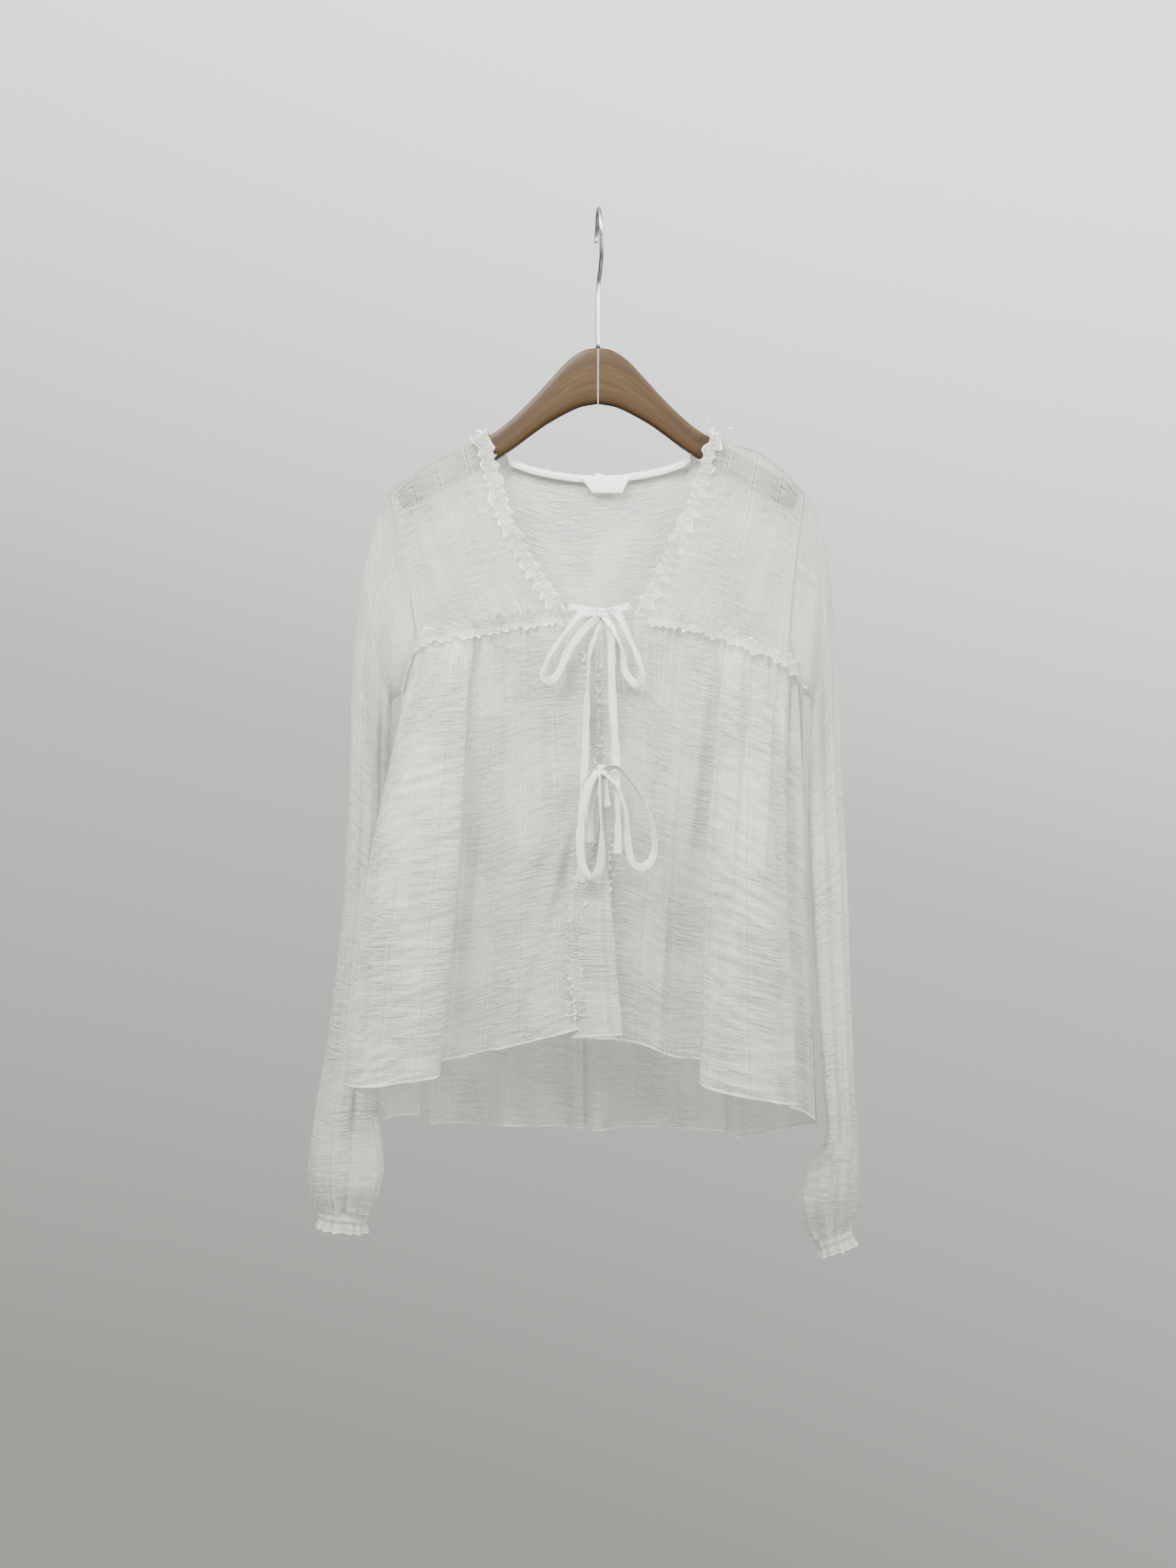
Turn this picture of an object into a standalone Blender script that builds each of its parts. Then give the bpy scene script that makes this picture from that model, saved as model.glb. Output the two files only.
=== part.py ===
"""Frill blouse on a wooden hanger, modelled as separate sewn pieces of cloth.

The origin is where the hook rests on a rail: +X right, +Y away from the viewer, +Z up.
Sizes are in millimetres and are scaled to metres as each mesh is made.
Each cloth piece is a thin wall over a surface function of (s, v) from 0 to 1.
"""
import bpy
import bmesh
from collections import namedtuple
from math import asin, cos, exp, pi, radians, sin, sqrt
from mathutils import Vector

MM = 0.001
CLOTH_WALL = 1.2
RUFFLE_WALL = 1.0
CUFF_WALL = 1.8

# Hanger and hook
HANGER_THICK = 11.0
HOOK_WIRE = 4.0
HOOK_INSIDE = 42.0
HANGER_TOP_Z = -124.5
SHOULDER_ROLL = 7.2

# Ruffles and ties
RUFFLE_WAVE = 2.4
RIBBON_WIDE = 4.6
RIBBON_THICK = 1.6

Colour = namedtuple("Colour", "red green blue")
COTTON = Colour(0.86, 0.86, 0.83)
BEECH = Colour(0.42, 0.27, 0.14)
STEEL = Colour(0.62, 0.62, 0.62)
TAPE = Colour(0.80, 0.80, 0.76)


def start_empty():
    for thing in list(bpy.data.objects):
        bpy.data.objects.remove(thing, do_unlink=True)


def material(name, colour, roughness, metallic=0.0):
    made = bpy.data.materials.new(name)
    made.use_nodes = True
    shader = made.node_tree.nodes["Principled BSDF"]
    shader.inputs["Base Color"].default_value = (*colour, 1.0)
    shader.inputs["Roughness"].default_value = roughness
    shader.inputs["Metallic"].default_value = metallic
    return made


def add_object(name, mesh_data, colour, roughness=0.9, metallic=0.0):
    mesh = bpy.data.meshes.new(name)
    bmesh.ops.recalc_face_normals(mesh_data, faces=mesh_data.faces)
    mesh_data.to_mesh(mesh)
    mesh_data.free()
    mesh.materials.append(material(name + "_finish", colour, roughness, metallic))
    made = bpy.data.objects.new(name, mesh)
    bpy.context.scene.collection.objects.link(made)
    return made


def between(low, high, share):
    return low + (high - low) * share


def along(points, share):
    """A Catmull-Rom curve through the points, share from 0 to 1."""
    last = len(points) - 1
    place = min(max(share, 0.0), 1.0) * last
    index = min(int(place), last - 1)
    t = place - index
    b, c = points[index], points[index + 1]
    a = points[index - 1] if index > 0 else b * 2 - c
    d = points[index + 2] if index + 2 <= last else c * 2 - b
    return (b * 2 + (c - a) * t + (a * 2 - b * 5 + c * 4 - d) * t * t
            + (b * 3 - a - c * 3 + d) * t * t * t) * 0.5


def at_height(rows, z, column):
    """Straight-line reading of one named column of a table sorted from the top down."""
    if z >= rows[0].z:
        return getattr(rows[0], column)
    for upper, lower in zip(rows, rows[1:]):
        if z >= lower.z:
            share = (upper.z - z) / (upper.z - lower.z)
            return between(getattr(upper, column), getattr(lower, column), share)
    return getattr(rows[-1], column)


def surface_grid(surface, shares_across, shares_down):
    return [[surface(s, v) for s in shares_across] for v in shares_down]


def steps(count):
    return [i / count for i in range(count + 1)]


def grid_normals(grid, closed, outward):
    """Unit normals of a grid of points, all on the side that `outward` points to."""
    rows, columns = len(grid), len(grid[0])
    normals = []
    for r in range(rows):
        line = []
        for c in range(columns):
            left = grid[r][(c - 1) % columns] if closed or c else grid[r][c]
            right = grid[r][(c + 1) % columns] if closed or c < columns - 1 else grid[r][c]
            above, below = grid[max(r - 1, 0)][c], grid[min(r + 1, rows - 1)][c]
            line.append(((right - left).cross(below - above)).normalized() * outward)
        normals.append(line)
    return normals


def cloth_wall(name, grid, colour, wall=CLOTH_WALL, outward=1, closed=False):
    """A closed wall: the grid is its outer face and the inner face lies a wall further in."""
    normals = grid_normals(grid, closed, outward)
    rows, columns = len(grid), len(grid[0])
    data = bmesh.new()
    outer = [[data.verts.new(p * MM) for p in line] for line in grid]
    inner = [[data.verts.new((p - n * wall) * MM) for p, n in zip(line, ns)]
             for line, ns in zip(grid, normals)]
    spans = columns if closed else columns - 1
    for r in range(rows - 1):
        for c in range(spans):
            d = (c + 1) % columns
            data.faces.new((outer[r][c], outer[r + 1][c], outer[r + 1][d], outer[r][d]))
            data.faces.new((inner[r][c], inner[r][d], inner[r + 1][d], inner[r + 1][c]))
    for r in (0, rows - 1):
        for c in range(spans):
            d = (c + 1) % columns
            data.faces.new((outer[r][c], outer[r][d], inner[r][d], inner[r][c]))
    if not closed:
        for c in (0, columns - 1):
            for r in range(rows - 1):
                data.faces.new((outer[r][c], outer[r + 1][c], inner[r + 1][c], inner[r][c]))
    return add_object(name, data, colour)


# Outline of the body seen from the front, and the depth of its open sides
Side = namedtuple("Side", "z left right left_depth right_depth")
SIDES = (
    Side(-258, -189, 187, 8, 8),
    Side(-300, -180, 182, 9, 9),
    Side(-345, -171, 177, 10, 10),
    Side(-390, -164.5, 174, 12, 11),
    Side(-425, -174, 181.5, 6.5, 6.5),
    Side(-435, -177, 185.5, 4.2, 4.2),
    Side(-440, -179, 187, 0.8, 0.8),
    Side(-540, -182, 187, 0.8, 2),
    Side(-640, -186, 189, 0.8, 5),
    Side(-740, -190, 194, 0.8, 9),
    Side(-845, -195, 203, 0.8, 14),
)


def side_point(hand, z):
    """A point of the armhole and side seam, hand -1 at the left and 1 at the right."""
    return at_height(SIDES, z, "left" if hand < 0 else "right")


def side_depth(hand, z):
    return at_height(SIDES, z, "left_depth" if hand < 0 else "right_depth")


# Hanger: half outlines from the middle to the tip, as seen from the front
HANGER_UPPER = [Vector((x, 0, z)) for x, z in (
    (0.4, HANGER_TOP_Z), (12, -126.5), (27, -136), (44, -154), (60, -171.5), (77, -188), (94, -201.5),
    (125, -218.8), (160, -239.5), (178, -250.5), (182, -257))]
HANGER_LOWER = [Vector((x, 0, z)) for x, z in (
    (0.4, -175), (19, -179), (44, -192), (60, -203), (84, -220.5), (115, -238.5), (145, -255),
    (175, -270), (181, -266))]
HANGER_STEPS = 14
HANGER_ROUND = 2.5


def hanger_arm(name, hand):
    """A flat arm with rounded edges, from the joint at the middle out to the tip."""
    sections = []
    for share in steps(HANGER_STEPS):
        top, low = along(HANGER_UPPER, share), along(HANGER_LOWER, share)
        way = (low - top).normalized() * HANGER_ROUND
        half, inset = HANGER_THICK / 2, HANGER_THICK / 2 - HANGER_ROUND
        ring = [(top, -inset), (top + way, -half), (low - way, -half), (low, -inset),
                (low, inset), (low - way, half), (top + way, half), (top, inset)]
        sections.append([Vector((p.x * hand, y, p.z)) for p, y in ring])
    data = bmesh.new()
    rings = [[data.verts.new(p * MM) for p in section] for section in sections]
    for ring, after in zip(rings, rings[1:]):
        for k in range(len(ring)):
            j = (k + 1) % len(ring)
            data.faces.new((ring[k], ring[j], after[j], after[k]))
    data.faces.new(rings[0])
    data.faces.new(rings[-1])
    return add_object(name, data, BEECH, 0.5)


# Hook: the wire's middle line, which lies across the rail and leans a little to one side
HOOK_STEM = ((0, 0, HANGER_TOP_Z + 0.4), (0, 0, -92), (0.5, 0, -66), (2, -7, -55), (3, -17, -44))
HOOK_ARC_STEPS = 14
HOOK_TURN = 200
HOOK_LEAN_START = 3
HOOK_LEAN_END = -1.5


def hanger_hook():
    radius = (HOOK_INSIDE + HOOK_WIRE) / 2
    middle_z = HOOK_WIRE / 2 - radius
    route = [Vector(place) for place in HOOK_STEM]
    for share in steps(HOOK_ARC_STEPS):
        turn = radians(HOOK_TURN * (1 - share))
        lean = between(HOOK_LEAN_START, HOOK_LEAN_END, share)
        route.append(Vector((lean, radius * cos(turn), middle_z + radius * sin(turn))))
    curve = bpy.data.curves.new("hanger_hook", "CURVE")
    curve.dimensions = "3D"
    curve.bevel_depth = HOOK_WIRE / 2 * MM
    curve.bevel_resolution = 2
    curve.render_resolution_u = 0
    curve.use_fill_caps = True
    line = curve.splines.new("POLY")
    line.points.add(len(route) - 1)
    for point, place in zip(line.points, route):
        point.co = (*(place * MM), 1.0)
    curve.materials.append(material("hanger_hook_finish", STEEL, 0.3, 1.0))
    hook = bpy.data.objects.new("hanger_hook", curve)
    bpy.context.scene.collection.objects.link(hook)
    return hook


# Yokes: each line runs from the shoulder ridge down to the yoke seam, neckline first
YokeLine = namedtuple("YokeLine", "ridge_x ridge_z mid seam")
YOKE_LEFT = (
    YokeLine(-100, -200, (-76, -12, -288), (-27, -18, -369)),
    YokeLine(-122, -212.5, (-99, -12.5, -298), (-66, -17, -374)),
    YokeLine(-150, -228.5, (-128, -12, -311), (-103, -16, -380)),
    YokeLine(-172, -241, (-152, -11, -324), (-135, -14.5, -386)),
    YokeLine(-188.4, -254, (-174, -10, -334), (-163.5, -12, -390)),
)
YOKE_RIGHT = (
    YokeLine(102, -200.5, (71, -12, -293), (32, -18, -372)),
    YokeLine(122, -210, (98, -12.5, -298), (62, -17, -375)),
    YokeLine(147, -219, (130, -12, -312), (100, -16, -382)),
    YokeLine(171, -236, (154, -11, -330), (136, -14.5, -398)),
    YokeLine(186.6, -255.5, (176.5, -10, -345), (171.5, -11, -410)),
)
# The yoke's first rows, as degrees round the roll over the hanger
ROLL_ROWS = (3, 35, 65, 90)
YOKE_ROWS = 7
YOKE_COLUMNS = 10
YOKE_SEAM_GAP = 1.2


def yoke_surface(lines):
    """Surface over the hanger's edge and down to the yoke seam."""
    rolled = []
    for line in lines:
        points = [Vector((line.ridge_x, -SHOULDER_ROLL * sin(radians(a)),
                          line.ridge_z - SHOULDER_ROLL * (1 - cos(radians(a))))) for a in ROLL_ROWS]
        down = [points[-1], Vector(line.mid), Vector(line.seam) + Vector((0, 0, YOKE_SEAM_GAP))]
        points += [along(down, k / YOKE_ROWS) for k in range(1, YOKE_ROWS + 1)]
        rolled.append(points)

    def surface(s, v):
        return along([along(points, v) for points in rolled], s)
    return surface


def yoke(name, lines, outward):
    rows = len(ROLL_ROWS) + YOKE_ROWS - 1
    grid = surface_grid(yoke_surface(lines), steps(YOKE_COLUMNS), steps(rows))
    return cloth_wall(name, grid, COTTON, outward=outward)


# Skirt fronts: each line runs from the yoke seam (or armhole) to the hem, side seam first
FoldLine = namedtuple("FoldLine", "name seam mid hem")
SKIRT_LEFT = (
    FoldLine("side seam", (-179, -0.8, -440), (-185.5, -0.8, -633), (-194, -0.8, -822)),
    FoldLine("tuck behind the pleat", (-174, -6, -425), (-189, -13, -618), (-197, -22, -808)),
    FoldLine("body outline", (-165.5, -12, -402), (-203, -43, -594), (-222, -62, -787)),
    FoldLine("pleat front", (-155, -13.5, -391), (-191, -59, -588), (-207, -79, -785)),
    FoldLine("pleat middle", (-138, -15, -388), (-160, -63, -586), (-178, -83, -782)),
    FoldLine("pleat edge", (-119, -16, -385), (-126, -55, -584), (-143, -70, -778)),
    FoldLine("pleat foot", (-110, -16, -383), (-118, -26, -582), (-134, -30, -773)),
    FoldLine("hollow", (-96, -16, -380), (-98, -18, -577), (-110, -22, -765)),
    FoldLine("soft fold", (-72, -17, -376), (-70, -22, -568), (-74, -27, -757)),
    FoldLine("beside the opening", (-42, -18, -372.5), (-34, -25, -560), (-40, -31, -748)),
)
# The left front edge, as five places from the yoke seam down to the hem
EDGE_LEFT = (((-5, -20, -372), (-1, -23, -464), (-4, -28, -561), (-19, -30, -650), (-15, -32, -741)),)
SKIRT_RIGHT = (
    FoldLine("side seam", (187, -0.8, -440), (188.5, 3.4, -635), (202, 12, -836)),
    FoldLine("side roll", (181, -7, -424), (189.5, -12, -620), (196, -12, -826)),
    FoldLine("valley", (174.5, -10, -417), (171, -17, -611), (178, -18, -814)),
    FoldLine("pleat right edge", (168, -11.5, -411), (164, -40, -608), (172, -52, -806)),
    FoldLine("pleat front", (152, -13.5, -404), (149, -55, -603), (153, -69, -800)),
    FoldLine("pleat middle", (133, -15, -397), (120, -59, -595), (120, -76, -793)),
    FoldLine("pleat left edge", (116, -15.5, -389.5), (98, -49, -590), (92, -64, -786)),
    FoldLine("pleat foot", (107, -16, -385.5), (93, -24, -582), (85, -28, -771)),
    FoldLine("hollow", (85, -16.5, -379), (73, -17, -574), (65, -20, -768)),
    FoldLine("soft fold", (62, -17, -375), (52, -19, -565), (42, -21, -758)),
)
# The lower right edge curls forward: rows 12 mm apart across the cloth, the free edge last
EDGE_RIGHT = (
    ((40, -17, -373), (41, -19, -464), (36, -22, -560), (25, -24, -650), (17, -25, -752)),
    ((28, -18, -372.5), (29, -21, -464), (23, -25, -560), (7, -31, -650), (-5, -36, -751)),
    ((17, -19, -372.5), (18, -23, -464), (13, -30, -560), (1, -43, -650), (-4, -52, -750)),
    ((5, -20, -372), (6, -25, -464), (4, -36, -560), (13, -52, -650), (21, -54, -744)),
)
SKIRT_ROWS = 9
SKIRT_LEFT_COLUMNS = 30
SKIRT_RIGHT_COLUMNS = 39
GATHERS_LEFT = 9
GATHERS_RIGHT = 10
GATHER_DEPTH = 3.0
GATHER_START = 0.06
GATHER_FADE = 0.35
GATHER_ENDS = 8


def fold_points(line):
    """Five points down a fold line from its three named ones."""
    named = [Vector(line.seam), Vector(line.mid), Vector(line.hem)]
    return [along(named, share) for share in steps(4)]


def skirt_surface(lines, edge_rows, gathers):
    """Surface through the fold lines, with small gathers that fade out below the seam."""
    nets = [fold_points(line) for line in lines] + [[Vector(p) for p in row] for row in edge_rows]

    def surface(s, v):
        place = along([along(points, v) for points in nets], s)
        at_ends = min(1.0, GATHER_ENDS * (1 - s)) * min(1.0, GATHER_ENDS * s)
        fade = min(v / GATHER_START, 1.0) * exp(-v / GATHER_FADE) * at_ends
        place.y -= GATHER_DEPTH * fade * (0.5 + 0.5 * cos(2 * pi * gathers * s))
        return place
    return surface


def skirt_front(name, surface, columns, outward):
    grid = surface_grid(surface, steps(columns), steps(SKIRT_ROWS))
    return cloth_wall(name, grid, COTTON, outward=outward)


# Back: depth behind the hanger at each height, and its folds. A fold's place and width are
# shares of half the back's width, from -1 at the left side seam to 1 at the right one.
BackDepth = namedtuple("BackDepth", "z depth")
BACK_DEPTHS = (BackDepth(-200, 9), BackDepth(-250, 12), BackDepth(-345, 16), BackDepth(-440, 22),
               BackDepth(-640, 36), BackDepth(-850, 44))
BackFold = namedtuple("BackFold", "place width depth")
BACK_FOLDS = (BackFold(-0.62, 0.16, 6), BackFold(-0.22, 0.12, 8), BackFold(-0.02, 0.07, -14),
              BackFold(0.16, 0.12, 7), BackFold(0.58, 0.13, 10), BackFold(0.80, 0.08, -6))
# Half of the back neckline, from the middle out to where it meets the yoke on the shoulder
NeckStep = namedtuple("NeckStep", "x y z")
BACK_NECK = (NeckStep(0, 11, -239), NeckStep(21, 10.8, -238), NeckStep(42, 10.4, -235),
             NeckStep(60, 9.8, -231), NeckStep(78, 9, -225), NeckStep(90, 8.4, -215),
             NeckStep(97.2, 7.6, -206), NeckStep(98.8, 4.5, -201.7), NeckStep(100, 0.5, -200))
NECK_RIGHT_SCALE = 1.02
BACK_ROLL_END = 0.12
BACK_ROWS = (0, 0.04, 0.08, BACK_ROLL_END, 0.177, 0.246, 0.315, 0.369, 0.392, 0.47, 0.545, 0.62, 0.699, 0.775,
             0.852, 0.926, 1)
BACK_SHOULDER_COLUMNS = 8
BACK_SHOULDER_CROWDING = 1.3
BACK_SIDE_ROUNDING = 8
BACK_HEM_Z = -846
BACK_HEM_RISE = 9
BACK_HEM_LEFT_LIFT = 8
BACK_HEM_LEFT_START = -0.85
BACK_HEM_DIP = 8
BACK_HEM_DIP_PLACE = 0.62
BACK_HEM_DIP_WIDTH = 0.2


def back_hem(f):
    """Height of the back hem, lower at the middle and at the right; f is -1 to 1 across."""
    lift = -BACK_HEM_LEFT_LIFT * f if f < BACK_HEM_LEFT_START else 0
    dip = BACK_HEM_DIP * exp(-((f - BACK_HEM_DIP_PLACE) / BACK_HEM_DIP_WIDTH) ** 2)
    return BACK_HEM_Z + BACK_HEM_RISE * f ** 2 + lift - dip


def back_top(x):
    """A point of the back's top edge: left shoulder, neckline or right shoulder."""
    out = -x if x < 0 else x / NECK_RIGHT_SCALE
    for near, far in zip(BACK_NECK, BACK_NECK[1:]):
        if out <= far.x:
            share = (out - near.x) / (far.x - near.x)
            return Vector((x, between(near.y, far.y, share), between(near.z, far.z, share)))
    lines = YOKE_LEFT if x < 0 else YOKE_RIGHT
    for near, far in zip(lines, lines[1:]):
        if abs(x) <= abs(far.ridge_x):
            break
    share = (x - near.ridge_x) / (far.ridge_x - near.ridge_x)
    return Vector((x, 0.5, between(near.ridge_z, far.ridge_z, share)))


def back_share(x):
    """The share across the back at which the top edge has this x."""
    left, right = YOKE_LEFT[-1].ridge_x, YOKE_RIGHT[-1].ridge_x
    return (x - left) / (right - left)


def back_surface(s, v):
    """Top edge, a quick roll over the shoulder, then down to the hem."""
    top = back_top(between(YOKE_LEFT[-1].ridge_x, YOKE_RIGHT[-1].ridge_x, s))
    f = 2 * s - 1
    roll_share = min(v / BACK_ROLL_END, 1.0)
    start = min(top.y / SHOULDER_ROLL, 1.0)
    turn = between(asin(start), pi / 2, roll_share)
    z_roll = top.z - SHOULDER_ROLL * (cos(asin(start)) - cos(turn) + start * roll_share)
    flat_start = start > 0.95
    rise = roll_share if flat_start else (sin(turn) - start) / (1 - start)
    z = between(z_roll, back_hem(f), max(v - BACK_ROLL_END, 0.0) / (1 - BACK_ROLL_END))
    x = between(side_point(-1, z), side_point(1, z), s)
    edge = between(side_depth(-1, z), side_depth(1, z), s)
    full = at_height(BACK_DEPTHS, z, "depth")
    away_from_sides = 1 - f ** BACK_SIDE_ROUNDING
    inner = edge + (full - edge) * sqrt(max(away_from_sides, 0.0))
    for fold in BACK_FOLDS:
        shape = exp(-((f - fold.place) / fold.width) ** 2) * away_from_sides
        inner += fold.depth * max(v - 0.1, 0) * shape
    return Vector((x, between(top.y, inner, rise), z))


def back_panel():
    left_neck = [back_share(-step.x) for step in reversed(BACK_NECK)]
    right_neck = [back_share(step.x * NECK_RIGHT_SCALE) for step in BACK_NECK[1:]]
    shoulder = steps(BACK_SHOULDER_COLUMNS)[:-1]
    crowded = [share ** BACK_SHOULDER_CROWDING for share in shoulder]
    across = [left_neck[0] * share for share in crowded] + left_neck + right_neck
    across += [1 - (1 - right_neck[-1]) * share for share in reversed(crowded)]
    return cloth_wall("back_panel", surface_grid(back_surface, across, BACK_ROWS), COTTON, outward=1)


# Sleeves: rings from the outer to the inner fold, half their depth and the middle depth
Ring = namedtuple("Ring", "outer_x outer_z inner_x inner_z half middle")
SLEEVE_LEFT = (
    Ring(-202, -283, -188, -447, 15, 1),
    Ring(-217.5, -343, -189, -462, 20, 3),
    Ring(-225, -420, -190, -492, 22, 6),
    Ring(-227.5, -500, -191, -542, 22, 8),
    Ring(-230, -580, -193, -606, 22, 8),
    Ring(-235.5, -655, -197, -672, 21, 9),
    Ring(-246, -744, -201, -752, 21, 10),
    Ring(-259, -822, -201, -824, 21, 8),
    Ring(-265, -872, -197, -872, 21, 6),
    Ring(-262, -897, -202, -896, 18, 5),
    Ring(-256, -910, -209, -915, 13, 5),
)
SLEEVE_RIGHT = (
    Ring(200, -276, 194, -445, 15, 0),
    Ring(208, -312, 195, -458, 18, -2),
    Ring(214.5, -370, 193, -486, 18, -3),
    Ring(218.5, -445, 191.5, -520, 17, -5),
    Ring(222, -525, 191.5, -566, 16, -6),
    Ring(227, -610, 193, -632, 16, -8),
    Ring(229, -710, 198, -722, 15, -10),
    Ring(231.5, -790, 204, -798, 14, -12),
    Ring(234.5, -838, 206, -845, 14, -12),
    Ring(236.5, -868, 188, -870, 16, -9),
    Ring(238.5, -893, 182, -893, 18, -5),
    Ring(236, -911, 187, -918, 16, -3),
    Ring(230, -924, 195, -936, 12, -2),
)
ARMHOLE_TOP = -255
ARMHOLE_FOOT = -441
ARMHOLE_GAP = 1.5
ARMHOLE_ROUNDING = 40
ARMHOLE_LEAST = 0.2
SLEEVE_COLUMNS = 28
CUFF_GATHERS = 10
CUFF_GATHER_DEPTH = 0.09
CUFF_GATHER_START = 0.75


def armhole_depth(hand, z):
    """Half the armhole's width from front to back, round at the top like the shoulder."""
    drop = ARMHOLE_TOP + 1 - z
    if drop < SHOULDER_ROLL:
        return sqrt(max(SHOULDER_ROLL ** 2 - (SHOULDER_ROLL - drop) ** 2, 0.0))
    return side_depth(hand, z)


def armhole_point(hand, turn):
    z = between(ARMHOLE_TOP, ARMHOLE_FOOT, (1 - cos(turn)) / 2)
    side = 1 if sin(turn) >= 0 else -1
    y = -side * min(armhole_depth(hand, z), ARMHOLE_ROUNDING * abs(sin(turn)) + ARMHOLE_LEAST)
    return Vector((side_point(hand, z) + hand * ARMHOLE_GAP, y, z))


def ring_point(ring, turn, ripple):
    outer, inner = Vector((ring.outer_x, 0, ring.outer_z)), Vector((ring.inner_x, 0, ring.inner_z))
    reach = 1 + ripple * cos(CUFF_GATHERS * turn)
    place = (outer + inner) / 2 + (outer - inner) / 2 * cos(turn) * reach
    place.y = ring.middle - ring.half * sin(turn) * reach
    return place


def sleeve_surface(hand, rings):
    def surface(s, v):
        turn = 2 * pi * s
        points = [armhole_point(hand, turn)]
        for k, ring in enumerate(rings):
            below = ((k + 1) / len(rings) - CUFF_GATHER_START) / (1 - CUFF_GATHER_START)
            points.append(ring_point(ring, turn, CUFF_GATHER_DEPTH * max(0.0, below)))
        return along(points, v)
    return surface


def sleeve(name, hand, rings):
    turns = [k / SLEEVE_COLUMNS for k in range(SLEEVE_COLUMNS)]
    grid = surface_grid(sleeve_surface(hand, rings), turns, steps(len(rings)))
    return cloth_wall(name, grid, COTTON, outward=hand, closed=True)


# Cuff: a short elastic band and its frill, as steps down from the sleeve's last ring
CuffStep = namedtuple("CuffStep", "down size ripple")
CUFF_STEPS = (CuffStep(0.8, 0.98, 0.09), CuffStep(6, 0.93, 0.08), CuffStep(11, 0.93, 0.08),
              CuffStep(18, 1.06, 0.12))
CUFF_COLUMNS = 32


def cuff(name, hand, ring):
    outer, inner = Vector((ring.outer_x, 0, ring.outer_z)), Vector((ring.inner_x, 0, ring.inner_z))
    way = (inner - outer).normalized()
    down = Vector((-way.z, 0, way.x)) if way.x > 0 else Vector((way.z, 0, -way.x))
    down = down if down.z < 0 else -down
    middle = (outer + inner) / 2
    grid = []
    for step in CUFF_STEPS:
        line = []
        for k in range(CUFF_COLUMNS):
            turn = 2 * pi * k / CUFF_COLUMNS
            place = ring_point(ring, turn, step.ripple)
            centre = Vector((middle.x, ring.middle, middle.z))
            line.append(centre + (place - centre) * step.size + down * step.down)
        grid.append(line)
    return cloth_wall(name, grid, COTTON, CUFF_WALL, outward=hand, closed=True)


# Ruffles: a strip stitched along its middle, both edges waving away from the cloth
SAMPLES_PER_WAVE = 4
RUFFLE_CLEAR = 1.97
RUFFLE_EDGE_LIFT = 0.4
PATH_STEPS = 160


def surface_frame(surface, path, t, outward):
    """Point, direction across the path and outward normal on a cloth surface at path share t."""
    tiny = 0.004
    s, v = path(t)
    here = surface(s, v)
    ahead = Vector(surface(*path(min(t + tiny, 1.0)))) - Vector(surface(*path(max(t - tiny, 0.0))))
    over_s = surface(min(s + tiny, 1.0), v) - surface(max(s - tiny, 0.0), v)
    over_v = surface(s, min(v + tiny, 1.0)) - surface(s, max(v - tiny, 0.0))
    out = over_s.cross(over_v).normalized() * outward
    return here, out.cross(ahead.normalized()).normalized(), out


def even_shares(surface, path, count):
    """Path shares that cut the path into equal lengths on the surface."""
    places = [surface(*path(share)) for share in steps(PATH_STEPS)]
    lengths = [0.0]
    for a, b in zip(places, places[1:]):
        lengths.append(lengths[-1] + (b - a).length)
    shares, k = [], 0
    for j in range(count + 1):
        wanted = lengths[-1] * j / count
        while k < PATH_STEPS - 1 and lengths[k + 1] < wanted:
            k += 1
        shares.append((k + (wanted - lengths[k]) / (lengths[k + 1] - lengths[k])) / PATH_STEPS)
    return shares


def ruffle(name, surface, path, half, waves, outward, wave=RUFFLE_WAVE, far_lift=0.0):
    """Three rows of points: two waving edges and the stitched middle."""
    rows = [[], [], []]
    for k, share in enumerate(even_shares(surface, path, waves * SAMPLES_PER_WAVE)):
        here, across, out = surface_frame(surface, path, share, outward)
        beat = 0.5 + 0.5 * cos(2 * pi * k / SAMPLES_PER_WAVE)
        other = 0.5 + 0.5 * cos(2 * pi * (k + 2) / SAMPLES_PER_WAVE)
        middle = here + out * RUFFLE_CLEAR
        near, far = RUFFLE_EDGE_LIFT + 2 * wave * beat, RUFFLE_EDGE_LIFT + far_lift + 2 * wave * other
        rows[0].append(middle + across * half + out * near)
        rows[1].append(middle)
        rows[2].append(middle - across * half + out * far)
    return cloth_wall(name, rows, COTTON, RUFFLE_WALL, outward=ruffle_side(rows, surface, path, outward))


def ruffle_side(rows, surface, path, outward):
    """The sign that turns the strip's own normals away from the cloth."""
    k = len(rows[1]) // 2
    strip = (rows[1][k + 1] - rows[1][k - 1]).cross(rows[2][k] - rows[0][k])
    return 1 if strip.dot(surface_frame(surface, path, 0.5, outward)[2]) > 0 else -1


# Neck binding and the blank label inside the back neck
BAND_TALL = 6.7
BAND_WALL = 1.0
BAND_CLEAR = 0.5
BAND_LEFT_X = -84
BAND_RIGHT_X = 86
BAND_COLUMNS = 16
LABEL = (Vector((-16, 0, -241.5)), Vector((29, 0, -241.5)), Vector((22, 0, -256)), Vector((-5, 0, -256)))
LABEL_FRONT_Y = 6.0
LABEL_BACK_Y = 7.0


def neck_band():
    grid = []
    for row in range(2):
        line = []
        for share in steps(BAND_COLUMNS):
            top = back_top(between(BAND_LEFT_X, BAND_RIGHT_X, share))
            y = top.y - CLOTH_WALL - BAND_CLEAR - BAND_WALL
            line.append(Vector((top.x, y, top.z - BAND_CLEAR - row * BAND_TALL)))
        grid.append(line)
    return cloth_wall("neck_band", grid, TAPE, BAND_WALL, outward=-1)


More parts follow.
